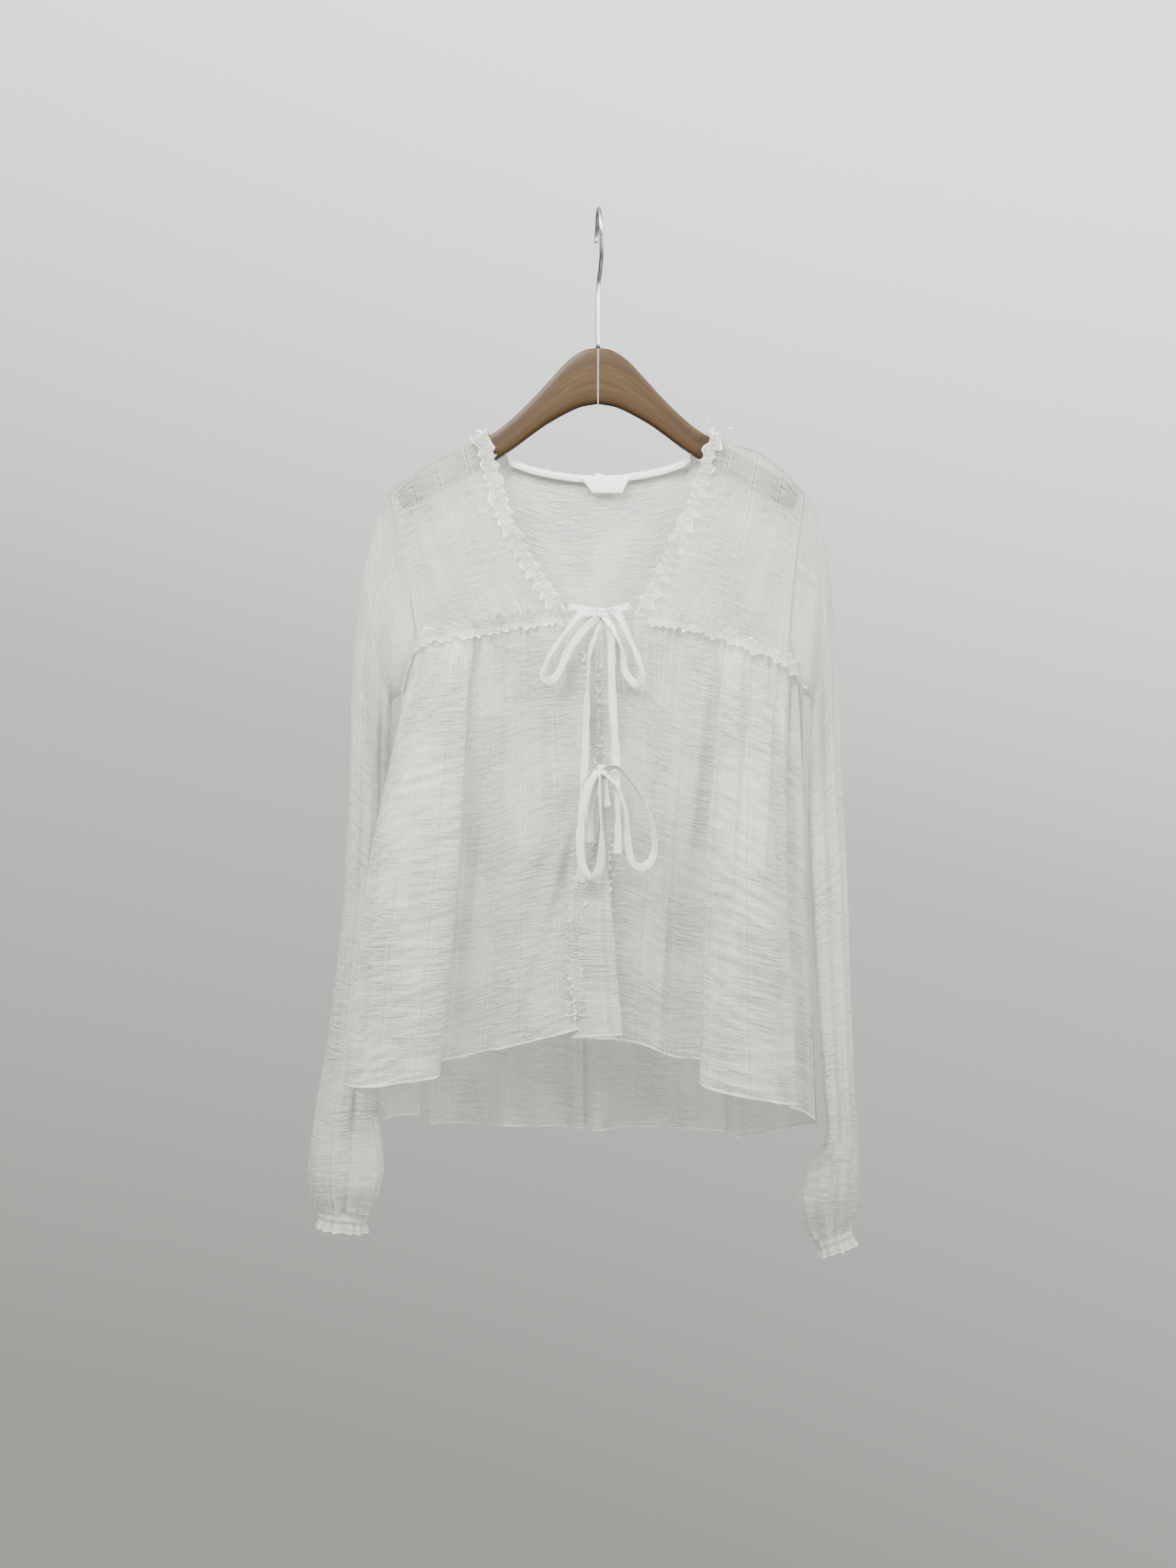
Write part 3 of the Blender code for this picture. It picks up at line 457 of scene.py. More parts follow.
def crease_lift(creases, s, v):
    """How far soft ridges and troughs push the cloth out, each fading at both of its ends."""
    total = 0.0
    for crease in creases:
        run = (v - crease.v_top) / (crease.v_low - crease.v_top)
        if 0 < run < 1:
            middle = between(crease.s_top, crease.s_low, run)
            fade = min(1.0, 4 * run, 4 * (1 - run) if crease.v_low < 1 else 1.0)
            total += crease.lift * fade * fade * (3 - 2 * fade) * exp(-((s - middle) / crease.width) ** 2)
    return total


def rumple(s, v, across, down, seed):
    """Uneven soft waves from -1 to 1, with this many bumps across and down the piece."""
    return smooth_noise.noise(Vector((s * across, v * down, seed)))


def waved(waves, s, v, seed):
    return waves.tall * rumple(s, v, waves.across, waves.down, seed)


def grown(v, start, span):
    """0 down to the start, then up to 1 over this span of the piece's height."""
    return limit((v - start) / span)


def back_hem(f):
    """Height of the back hem, lower at the middle and at the right; f is -1 to 1 across."""
    lift = -BACK_HEM_LEFT_LIFT * f if f < BACK_HEM_LEFT_START else 0
    dip = BACK_HEM_DIP * exp(-((f - BACK_HEM_DIP_PLACE) / BACK_HEM_DIP_WIDTH) ** 2)
    return BACK_HEM_Z + BACK_HEM_RISE * f ** 2 + lift - dip


def back_top(x):
    """A point of the back's top edge: left shoulder, neckline or right shoulder."""
    out = -x if x < 0 else x / NECK_RIGHT_SCALE
    for near, far in zip(BACK_NECK, BACK_NECK[1:]):
        if out <= far.x:
            share = (out - near.x) / (far.x - near.x)
            return Vector((x, between(near.y, far.y, share), between(near.z, far.z, share)))
    lines = YOKE_LEFT if x < 0 else YOKE_RIGHT
    for near, far in zip(lines, lines[1:]):
        if abs(x) <= abs(far.ridge_x):
            break
    share = (x - near.ridge_x) / (far.ridge_x - near.ridge_x)
    return Vector((x, 0.5, between(near.ridge_z, far.ridge_z, share)))


def back_base(s, v):
    """Top edge, a quick roll over the shoulder, then down to the hem."""
    top = back_top(between(YOKE_LEFT[-1].ridge_x, YOKE_RIGHT[-1].ridge_x, s))
    f = 2 * s - 1
    roll_share = min(v / BACK_ROLL_END, 1.0)
    start = min(top.y / SHOULDER_ROLL, 1.0)
    turn = between(asin(start), pi / 2, roll_share)
    z_roll = top.z - SHOULDER_ROLL * (cos(asin(start)) - cos(turn) + start * roll_share)
    rise = roll_share if start > 0.95 else (sin(turn) - start) / (1 - start)
    z = between(z_roll, back_hem(f), max(v - BACK_ROLL_END, 0.0) / (1 - BACK_ROLL_END))
    x = between(side_point(-1, z), side_point(1, z), s)
    edge = between(side_depth(-1, z), side_depth(1, z), s)
    full = at_height(BACK_DEPTHS, z, "depth")
    away_from_sides = 1 - f ** BACK_SIDE_ROUNDING
    inner = edge + (full - edge) * sqrt(max(away_from_sides, 0.0))
    for fold in BACK_FOLDS:
        inner += fold.depth * max(v - 0.1, 0) * exp(-((f - fold.place) / fold.width) ** 2) * away_from_sides
    return Vector((x, between(top.y, inner, rise), z))


def back_surface(s, v):
    place = back_base(s, v)
    free = grown(v, *BACK_FREE) * limit(BACK_SEAM_HOLD * s) * limit(BACK_SEAM_HOLD * (1 - s))
    place.y += free * (crease_lift(BACK_CREASES, s, v) + waved(BACK_WAVES, s, v, 3.1))
    place.y += grown(v, *BACK_CRINKLED) * waved(BACK_CRINKLE, s, v, 8.4)
    step = 1 / (1 + exp(-(s - BACK_STEP_PLACE) / BACK_STEP_WIDTH))
    place.z -= BACK_STEP * step * limit(BACK_STEP_HOLD * (1 - s)) * grown(v, *BACK_STEPPED)
    return place


# Sheer cotton, for every panel: a gauze of single threads, woven with a dobby stripe of two
# fine raised lines and a row of open dots, and small openwork flowers between the stripes. One
# layer lets about a third of the light through, and a doubled hem lets almost none.
STRIPE_APART = 30.0
STRIPE_HALF = 2.2
STRIPE_LINE = 0.45
DOT_APART = 4.2
DOT_SIZE = 0.8
FLOWER_APART = 31.0
FLOWER_SIZE = 2.6
PETALS = 5.0
PETAL_NECK = 0.78
HEM_TALL = 1.9
NECK_BINDING = 1.6
LINE_COVER = 0.62
HEM_COVER = 0.98
OPENWORK_LOSS = 0.22
CRINKLE_TALL = 6.0
THREAD_TALL = 0.25
LINE_TALL = 0.3
CRINKLE_SCALE = (0.055, 0.3, 1)
PATCH_SCALE = (0.02, 0.014, 1)
WARP_SCALE = (1.5, 0.04, 1)
WEFT_SCALE = (0.05, 1.3, 1)
CLOTH_WHITE = "d0d1c6"
HEM_WHITE = "e6e7de"
# Frill edges: partly the denser white of the overlocked thread, partly a painted highlight of their curling
# edges, so they are whiter than the other hems
FRILL_EDGE_WHITE_AND_HIGHLIGHT = "ffffff"


def sheer_cotton(name, woven, hem_tall, thinnest=0.54, densest=0.76, two_hems=None, neck_edge=False):
    """Cotton cut to a UV map in mm, its hem along the low edge; two_hems is the cut's height."""
    made, tree, flat = start_finish(name)
    split = add_node(tree, "SeparateXYZ", {0: flat})
    across, down = split.outputs[0], split.outputs[1]

    # Crinkle: wavy creases across the cloth, 3 mm apart and 20 mm long, with finer ones between
    place = add_node(tree, "Mapping", {0: flat, 3: CRINKLE_SCALE})
    crinkle = add_node(tree, "TexNoise", {"Vector": place, "Scale": 1, "Detail": 5, "Roughness": 0.62,
                                          "Distortion": 0.9})
    # It comes in patches some 60 mm across, with smoother cloth between them
    place = add_node(tree, "Mapping", {0: flat, 3: PATCH_SCALE})
    patch = add_node(tree, "TexNoise", {"Vector": place, "Scale": 1, "Detail": 1})
    patches = add_node(tree, "MapRange", (patch, 0.38, 0.62, 0.15, 1.0))
    # Threads: real ones are 0.3 mm apart; here they are drawn at 0.7 mm so that they show
    place = add_node(tree, "Mapping", {0: flat, 3: WARP_SCALE})
    warp = add_node(tree, "TexNoise", {"Vector": place, "Scale": 1, "Detail": 2})
    place = add_node(tree, "Mapping", {0: flat, 3: WEFT_SCALE})
    weft = add_node(tree, "TexNoise", {"Vector": place, "Scale": 1, "Detail": 2})
    threads = add_node(tree, "Math", (warp, weft), operation="ADD")

    raised = add_node(tree, "Math", (down, hem_tall), operation="LESS_THAN")
    if two_hems:
        upper = add_node(tree, "Math", (down, two_hems - hem_tall), operation="GREATER_THAN")
        raised = add_node(tree, "Math", (raised, upper), operation="MAXIMUM")
    if neck_edge:
        bound = add_node(tree, "Math", (across, NECK_BINDING), operation="LESS_THAN")
        raised = add_node(tree, "Math", (raised, bound), operation="MAXIMUM")
    thin = add_node(tree, "MapRange", (threads, 0.75, 1.25, thinnest, densest))
    if woven:
        off_line = add_node(tree, "Math", (across, STRIPE_APART / 2), operation="PINGPONG")
        line = add_node(tree, "Math", (off_line, STRIPE_HALF, STRIPE_LINE), operation="COMPARE")
        line = add_node(tree, "Math", (line, LINE_COVER), operation="MULTIPLY")
        raised = add_node(tree, "Math", (raised, line), operation="MAXIMUM")
        off_dot = add_node(tree, "Math", (down, DOT_APART / 2), operation="PINGPONG")
        to_dot = add_node(tree, "CombineXYZ", (off_line, off_dot))
        dot_gap = add_node(tree, "VectorMath", {0: to_dot}, operation="LENGTH").outputs["Value"]
        dots = add_node(tree, "MapRange", (dot_gap, DOT_SIZE * 0.6, DOT_SIZE * 1.3, 1, 0))
        field = add_node(tree, "TexVoronoi", {"Vector": flat, "Scale": 1 / FLOWER_APART, "Randomness": 0.6},
                         voronoi_dimensions="2D").outputs["Position"]
        offset = add_node(tree, "VectorMath", (flat, field), operation="SUBTRACT")
        away = add_node(tree, "SeparateXYZ", {0: offset}).outputs
        angle = add_node(tree, "Math", (away[1], away[0]), operation="ARCTAN2")
        turns = add_node(tree, "Math", (angle, PETALS), operation="MULTIPLY")
        petal = add_node(tree, "Math", {0: turns}, operation="COSINE")
        reach = add_node(tree, "MapRange", (petal, -1, 1, PETAL_NECK, FLOWER_SIZE))
        middle = add_node(tree, "VectorMath", {0: offset}, operation="LENGTH").outputs["Value"]
        gone = add_node(tree, "Math", (middle, reach), operation="SUBTRACT")
        flowers = add_node(tree, "MapRange", (gone, -0.4, 0.4, 1, 0))
        open_work = add_node(tree, "Math", (dots, flowers), operation="MAXIMUM")
        lost = add_node(tree, "Math", (open_work, OPENWORK_LOSS), operation="MULTIPLY")
        thin = add_node(tree, "Math", (thin, lost), operation="SUBTRACT")

    # Hems are whiter where the cloth is doubled; on the frills the edges are pure white, partly real
    # overlocked thread and partly painted highlight
    edge_white_and_highlight = linear(FRILL_EDGE_WHITE_AND_HIGHLIGHT if two_hems else HEM_WHITE)
    cloth = add_node(tree, "Mix", {0: raised, 6: linear(CLOTH_WHITE), 7: edge_white_and_highlight}, data_type="RGBA")
    doubled = add_node(tree, "Math", (raised, HEM_COVER), operation="MULTIPLY")
    cover = add_node(tree, "Math", (thin, doubled), operation="MAXIMUM")
    tall = add_node(tree, "Math", (patches, CRINKLE_TALL), operation="MULTIPLY")
    height = add_node(tree, "Math", (crinkle, tall), operation="MULTIPLY")
    height = add_node(tree, "Math", (threads, THREAD_TALL, height), operation="MULTIPLY_ADD")
    height = add_node(tree, "Math", (raised, LINE_TALL, height), operation="MULTIPLY_ADD")
    relief = add_node(tree, "Bump", {"Height": height, "Strength": 0.8, "Distance": 0.0012})
    set_inputs(tree, tree.nodes["Principled BSDF"], {
        "Base Color": cloth.outputs[2], "Alpha": cover, "Normal": relief, "Roughness": 0.92,
        "Specular IOR Level": 0.2, "Sheen Weight": 0.15, "Sheen Roughness": 0.6})
    return made


panel_cotton = sheer_cotton("sheer_cotton_dobby", True, HEM_TALL)


def fit_cloth(piece, node, flat, finish=panel_cotton):
    fit_piece(piece, node, finish)


back = bent_grid("back_cloth", back_surface, BACK_SPANS, BACK_FLAT, 1)
fit_cloth(back, "back_panel", BACK_FLAT)

# Yokes: two flat pieces of the same cotton, joined to the back along the shoulder. Each lies
# over the hanger, and its neck edge slants from the shoulder to the middle of the bust.
ROLL_ROWS = (3, 35, 65, 90)
YOKE_ROWS = 7
YOKE_SEAM_GAP = 1.2
YOKE_LEFT_FLAT = (125, 175)
YOKE_RIGHT_FLAT = (125, 180)
YOKE_SPANS = (80, 110)
YOKE_FREE = (0.35, 0.2)
YOKE_WAVES = Waves(1.2, 9, 3)
YOKE_CRINKLE = Waves(0.4, 16, 22)
YOKE_COVER = (0.36, 0.56)
YOKE_CREASES = rows(
    Crease,
    (0.25, 0.30, 0.18, 0.95, 0.05, 1.2), (0.55, 0.32, 0.50, 0.90, 0.05, 1.0),
    (0.80, 0.30, 0.72, 0.98, 0.05, 1.5), (0.68, 0.40, 0.60, 1.05, 0.03, -1.0),
    (0.40, 0.45, 0.34, 1.05, 0.03, -1.0),
)


def yoke_surface(lines):
    """Surface over the hanger's edge and down to the yoke seam."""
    rolled = []
    for line in lines:
        points = [Vector((line.ridge_x, -SHOULDER_ROLL * sin(radians(a)),
                          line.ridge_z - SHOULDER_ROLL * (1 - cos(radians(a))))) for a in ROLL_ROWS]
        down = [points[-1], Vector(line.mid), Vector(line.seam) + Vector((0, 0, YOKE_SEAM_GAP))]
        points += [along(down, k / YOKE_ROWS) for k in range(1, YOKE_ROWS + 1)]
        rolled.append(points)

    def surface(s, v):
        return along([along(points, v) for points in rolled], s)
    return surface


yoke_cotton = sheer_cotton("sheer_cotton_yoke", True, 0, *YOKE_COVER, neck_edge=True)


def creased_yoke(lines, seed):
    base = yoke_surface(lines)

    def surface(s, v):
        place = base(s, v)
        free = grown(v, *YOKE_FREE)
        place.y -= free * (crease_lift(YOKE_CREASES, s, v) + waved(YOKE_WAVES, s, v, seed))
        place.y -= free * waved(YOKE_CRINKLE, s, v, seed + 4)
        return place
    return surface


YOKES = (("left", YOKE_LEFT, 1, YOKE_LEFT_FLAT), ("right", YOKE_RIGHT, -1, YOKE_RIGHT_FLAT))
for side, lines, outward, flat in YOKES:
    yoke = bent_grid("yoke_cloth_" + side, creased_yoke(lines, outward * 2.3), YOKE_SPANS, flat, outward)
    fit_cloth(yoke, "yoke_" + side, flat, yoke_cotton)

# Skirt fronts: two wide widths of the cotton, gathered to half their width at the yoke seam, so
# that they fall in two large pleats and a few soft folds. The lower right edge passes behind
# the left one and turns forward.
FoldLine = namedtuple("FoldLine", "name seam mid hem")
SKIRT_LEFT = rows(
    FoldLine,
    ("side seam", (-179, -0.8, -440), (-185.5, -0.8, -633), (-194, -0.8, -822)),
    ("tuck behind the pleat", (-174, -6, -425), (-189, -13, -618), (-197, -22, -808)),
    ("body outline", (-165.5, -12, -402), (-203, -43, -594), (-222, -62, -787)),
    ("pleat front", (-155, -13.5, -391), (-191, -59, -588), (-207, -79, -785)),
    ("pleat middle", (-138, -15, -388), (-160, -63, -586), (-178, -83, -782)),
    ("pleat edge", (-119, -16, -385), (-126, -55, -584), (-143, -70, -778)),
    ("pleat foot", (-110, -16, -383), (-118, -26, -582), (-134, -30, -773)),
    ("hollow", (-96, -16, -380), (-98, -18, -577), (-110, -22, -765)),
    ("soft fold", (-72, -17, -376), (-70, -22, -568), (-74, -27, -757)),
    ("beside the opening", (-42, -18, -372.5), (-34, -25, -560), (-40, -31, -748)),
)
EDGE_LEFT = (((-5, -20, -372), (-1, -23, -464), (-4, -28, -561), (-19, -30, -650), (-15, -32, -741)),)
SKIRT_RIGHT = rows(
    FoldLine,
    ("side seam", (187, -0.8, -440), (188.5, 3.4, -635), (202, 12, -836)),
    ("side roll", (181, -7, -424), (189.5, -12, -620), (196, -12, -826)),
    ("valley", (174.5, -10, -417), (171, -17, -611), (178, -18, -814)),
    ("pleat right edge", (168, -11.5, -411), (164, -40, -608), (172, -52, -806)),
    ("pleat front", (152, -13.5, -404), (149, -55, -603), (153, -69, -800)),
    ("pleat middle", (133, -15, -397), (120, -59, -595), (120, -76, -793)),
    ("pleat left edge", (116, -15.5, -389.5), (98, -49, -590), (92, -64, -786)),
    ("pleat foot", (107, -16, -385.5), (93, -24, -582), (85, -28, -771)),
    ("hollow", (85, -16.5, -379), (73, -17, -574), (65, -20, -768)),
    ("soft fold", (62, -17, -375), (52, -19, -565), (42, -21, -758)),
)
# The lower right edge: rows 12 mm apart across the cloth, the free edge last
EDGE_RIGHT = (
    ((40, -17, -373), (41, -19, -464), (36, -22, -560), (22, -24, -650), (14, -25, -752)),
    ((28, -18, -372.5), (29, -21, -464), (20, -24, -560), (-4, -26, -650), (-8, -28, -751)),
    ((17, -19, -372.5), (16, -22, -464), (1, -27, -560), (-24, -27, -650), (-23, -29, -750)),
    ((5, -20, -372), (6, -25, -464), (6, -36, -560), (13, -46, -650), (21, -50, -744)),
)
GATHER_DEPTH = 4.6
GATHER_START = 0.06
GATHER_FADE = 0.35
GATHER_ENDS = 8
SMALL_GATHERS = 34
SMALL_GATHER_DEPTH = 2.6
SMALL_GATHER_RUN = (0, 0.02)
SMALL_GATHER_FADE = 0.2
SMALL_GATHER_LEAST = 0.55
SMALL_GATHER_UNEVEN = Waves(0.75, 9, 1)
SMALL_GATHER_DRIFT = Waves(1.4, 13, 1)
SKIRT_WAVES = Waves(1.7, 30, 2.5)
SKIRT_FREE = (0, 0.1)
SKIRT_EDGE_HOLD = 14
# The crinkle runs askew across the cloth, and stands highest on the large pleat
CRINKLE_LEAST = 0.55
CRINKLE_ACROSS = 17
CRINKLE_DOWN = 58
CRINKLE_SLANT = 10
CRINKLE_WANDER = Waves(0.6, 7, 5)
PLEAT_CRINKLE_WIDTH = 0.13
SKIRT_SPANS = (220, 190)
# Where a pleat laps over the hollow beside it, how far each line moves along +X
LAP_RUN = (0.05, 0.35)
Lap = namedtuple("Lap", "place width reach")
LAPS_LEFT = rows(Lap, (0.50, 0.035, 3), (0.60, 0.050, -12))
LAPS_RIGHT = rows(Lap, (0.462, 0.025, -2), (0.538, 0.036, 11), (0.231, 0.020, 4), (0.154, 0.022, -5))
CREASES_LEFT = rows(
    Crease,
    (0.95, 0.42, 0.76, 1.02, 0.022, 4.5), (0.88, 0.50, 0.71, 1.05, 0.020, -2.5),
    (0.83, 0.10, 0.84, 0.60, 0.014, 2.2), (0.76, 0.06, 0.75, 0.48, 0.012, 2.4),
    (0.70, 0.04, 0.66, 0.70, 0.012, 2.2), (0.47, 0.05, 0.45, 0.75, 0.013, -1.8),
    (0.38, 0.10, 0.36, 1.05, 0.016, 2.0), (0.24, 0.20, 0.27, 0.90, 0.012, -1.6),
    (0.92, 0.05, 0.91, 0.45, 0.012, -2.0), (0.80, 0.60, 0.81, 1.05, 0.014, -1.5),
)
CREASES_RIGHT = rows(
    Crease,
    (0.06, 0.10, 0.08, 1.05, 0.010, 2.6), (0.28, 0.05, 0.33, 0.60, 0.008, 3.2),
    (0.36, 0.05, 0.39, 0.75, 0.009, -3.0), (0.43, 0.05, 0.44, 0.80, 0.010, 2.8),
    (0.57, 0.08, 0.59, 0.55, 0.010, 2.4), (0.63, 0.10, 0.66, 1.05, 0.013, 2.6),
    (0.70, 0.25, 0.72, 1.05, 0.011, -2.2), (0.76, 0.06, 0.75, 0.50, 0.010, 2.4),
    (0.82, 0.50, 0.86, 1.05, 0.012, 2.6), (0.90, 0.05, 0.88, 0.42, 0.012, -1.8),
)
SKIRT_LEFT_FLAT = (335, 395)
SKIRT_RIGHT_FLAT = (335, 400)


def fold_points(line):
    """Five points down a fold line from its three named ones."""
    named = [Vector(line.seam), Vector(line.mid), Vector(line.hem)]
    return [along(named, step / 4) for step in range(5)]


def skirt_base(lines, edge_rows, gathers):
    """Surface through the fold lines, with the large gathers that fade out below the seam."""
    nets = [fold_points(line) for line in lines] + [[Vector(p) for p in row] for row in edge_rows]
    levels = {}

    def surface(s, v):
        if v not in levels:
            levels[v] = [along(points, v) for points in nets]
        place = along(levels[v], s)
        at_ends = min(1.0, GATHER_ENDS * (1 - s)) * min(1.0, GATHER_ENDS * s)
        fade = min(v / GATHER_START, 1.0) * exp(-v / GATHER_FADE) * at_ends
        place.y -= GATHER_DEPTH * fade * (0.5 + 0.5 * cos(2 * pi * gathers * s))
        return place
    return surface


def creased_skirt(base, creases, laps, pleat_place, seed):
    """The same surface with lapped pleats, small gathers, listed creases and crinkle."""
    def surface(s, v):
        place = base(s, v)
        inside = min(1.0, SKIRT_EDGE_HOLD * s, SKIRT_EDGE_HOLD * (1 - s))
        lapped = sum(lap.reach * exp(-((s - lap.place) / lap.width) ** 2) for lap in laps)
        place.x += grown(v, *LAP_RUN) * lapped
        phase = SMALL_GATHERS * s + waved(SMALL_GATHER_DRIFT, s, 0, seed)
        strong = SMALL_GATHER_LEAST + waved(SMALL_GATHER_UNEVEN, s, 0, seed + 5)
        gather = SMALL_GATHER_DEPTH * strong * cos(2 * pi * phase)
        gather *= grown(v, *SMALL_GATHER_RUN) * exp(-v / SMALL_GATHER_FADE)
        place.y -= inside * (gather + crease_lift(creases, s, v))
        free = grown(v, *SKIRT_FREE) * inside
        place.y -= free * waved(SKIRT_WAVES, s, v, seed + 1)
        down = v * CRINKLE_DOWN + CRINKLE_SLANT * s + waved(CRINKLE_WANDER, s, v, seed + 6)
        crinkle = CRINKLE_LEAST + exp(-((s - pleat_place) / PLEAT_CRINKLE_WIDTH) ** 2)
        place.y -= free * crinkle * rumple(s, down, CRINKLE_ACROSS, 1, seed + 2)
        return place
    return surface


front_left = skirt_base(SKIRT_LEFT, EDGE_LEFT, 9)
front_right = skirt_base(SKIRT_RIGHT, EDGE_RIGHT, 10)
FrontPlan = namedtuple("FrontPlan", "side base creases laps pleat_place outward seed flat")
FRONTS = rows(
    FrontPlan,
    ("left", front_left, CREASES_LEFT, LAPS_LEFT, 0.36, -1, 4.2, SKIRT_LEFT_FLAT),
    ("right", front_right, CREASES_RIGHT, LAPS_RIGHT, 0.38, 1, 7.7, SKIRT_RIGHT_FLAT),
)
for plan in FRONTS:
    surface = creased_skirt(plan.base, plan.creases, plan.laps, plan.pleat_place, plan.seed)
    front = bent_grid("front_cloth_" + plan.side, surface, SKIRT_SPANS, plan.flat, plan.outward)
    fit_cloth(front, "front_" + plan.side, plan.flat)

# Sleeves: long and full, one width of cotton each, closed by a seam under the arm and set
# into the armhole. They hang beside the body, pressed flat, and blouse over the cuff.
Ring = namedtuple("Ring", "outer_x outer_z inner_x inner_z half middle")
SLEEVE_LEFT = rows(
    Ring,
    (-202, -283, -188, -447, 15, 1),
    (-217.5, -343, -189, -462, 20, 3),
    (-225, -420, -190, -492, 22, 6),
    (-227.5, -500, -191, -542, 22, 8),
    (-230, -580, -193, -606, 22, 8),
    (-235.5, -655, -197, -672, 21, 9),
    (-246, -744, -201, -752, 21, 10),
    (-259, -822, -201, -824, 21, 8),
    (-265, -872, -197, -872, 21, 6),
    (-262, -897, -202, -896, 18, 5),
    (-256, -910, -209, -915, 13, 5),
)
SLEEVE_RIGHT = rows(
    Ring,
    (200, -276, 194, -445, 15, 0),
    (208, -312, 195, -458, 18, -2),
    (214.5, -370, 193, -486, 18, -3),
    (218.5, -445, 191.5, -520, 17, -5),
    (222, -525, 191.5, -566, 16, -6),
    (227, -610, 193, -632, 16, -8),
    (229, -710, 198, -722, 15, -10),
    (231.5, -790, 204, -798, 14, -12),
    (234.5, -838, 206, -845, 14, -12),
    (236.5, -868, 188, -870, 16, -9),
    (238.5, -893, 182, -893, 18, -5),
    (236, -911, 187, -918, 16, -3),
    (230, -924, 195, -936, 12, -2),
)
ARMHOLE_TOP = -255
ARMHOLE_FOOT = -441
ARMHOLE_GAP = 0.9
ARMHOLE_ROUNDING = 40
ARMHOLE_LEAST = 0.2
CUFF_GATHERS = 10
CUFF_GATHER_DEPTH = 0.09
CUFF_GATHER_START = 0.75
FINE_GATHERS = 28
FINE_GATHER_DEPTH = 1.0
FINE_GATHER_RUN = (0.84, 0.16)
FINE_GATHER_DRIFT = Waves(2, 5, 3)
SLEEVE_FREE = (0, 0.12)
SLEEVE_CREASE_SHARE = 0.8
SLEEVE_WAVES = Waves(1.3, 3.2, 5)
SLEEVE_WAVE_TILT = 0.1
SLEEVE_CRINKLE = 0.6
SLEEVE_CRINKLE_ROUND = 4
SLEEVE_CRINKLE_DOWN = 75
SLEEVE_SPANS = (150, 190)
SLEEVE_HEM = 1.5
CREASES_SLEEVE_LEFT = rows(
    Crease,
    (0.20, 0.12, 0.26, 0.70, 0.035, -3.5), (0.36, 0.10, 0.38, 0.80, 0.028, -2.6),
    (0.33, 0.62, 0.25, 1.05, 0.026, -6.5), (0.40, 0.66, 0.36, 1.05, 0.050, 4.0),
    (0.12, 0.20, 0.14, 1.02, 0.025, 2.6), (0.30, 0.30, 0.20, 0.92, 0.022, 2.4),
    (0.62, 0.12, 0.66, 1.02, 0.030, -3.6), (0.82, 0.15, 0.76, 0.95, 0.030, -3.4),
    (0.72, 0.30, 0.73, 1.02, 0.025, 2.4), (0.44, 0.55, 0.43, 1.02, 0.020, 2.2),
)
CREASES_SLEEVE_RIGHT = rows(
    Crease,
    (0.30, 0.10, 0.30, 0.86, 0.035, -4.0), (0.20, 0.12, 0.18, 0.90, 0.028, 2.6),
    (0.12, 0.22, 0.11, 0.80, 0.025, -2.4), (0.38, 0.20, 0.40, 1.02, 0.024, 2.4),
    (0.60, 0.12, 0.64, 1.02, 0.030, -3.4), (0.80, 0.15, 0.78, 0.95, 0.030, -3.0),
    (0.70, 0.30, 0.72, 1.02, 0.025, 2.4), (0.26, 0.72, 0.22, 1.02, 0.026, -3.0),
)
SLEEVE_LEFT_FLAT = (150, 560)
SLEEVE_RIGHT_FLAT = (135, 570)


def armhole_depth(hand, z):
    drop = ARMHOLE_TOP + 1 - z
    if drop < SHOULDER_ROLL:
        return sqrt(max(SHOULDER_ROLL ** 2 - (SHOULDER_ROLL - drop) ** 2, 0.0))
    return side_depth(hand, z)


def armhole_point(hand, turn):
    z = between(ARMHOLE_TOP, ARMHOLE_FOOT, (1 - cos(turn)) / 2)
    side = 1 if sin(turn) >= 0 else -1
    y = -side * min(armhole_depth(hand, z), ARMHOLE_ROUNDING * abs(sin(turn)) + ARMHOLE_LEAST)
    return Vector((side_point(hand, z) + hand * ARMHOLE_GAP, y, z))


def ring_ends(ring):
    """The ring's outer and inner corner, seen from the front."""
    return Vector((ring.outer_x, 0, ring.outer_z)), Vector((ring.inner_x, 0, ring.inner_z))


def ring_middle(ring):
    return Vector(((ring.outer_x + ring.inner_x) / 2, ring.middle, (ring.outer_z + ring.inner_z) / 2))


def ring_point(ring, turn, reach):
    outer, inner = ring_ends(ring)
    place = (outer + inner) / 2 + (outer - inner) / 2 * cos(turn) * reach
    place.y = ring.middle - ring.half * sin(turn) * reach
    return place


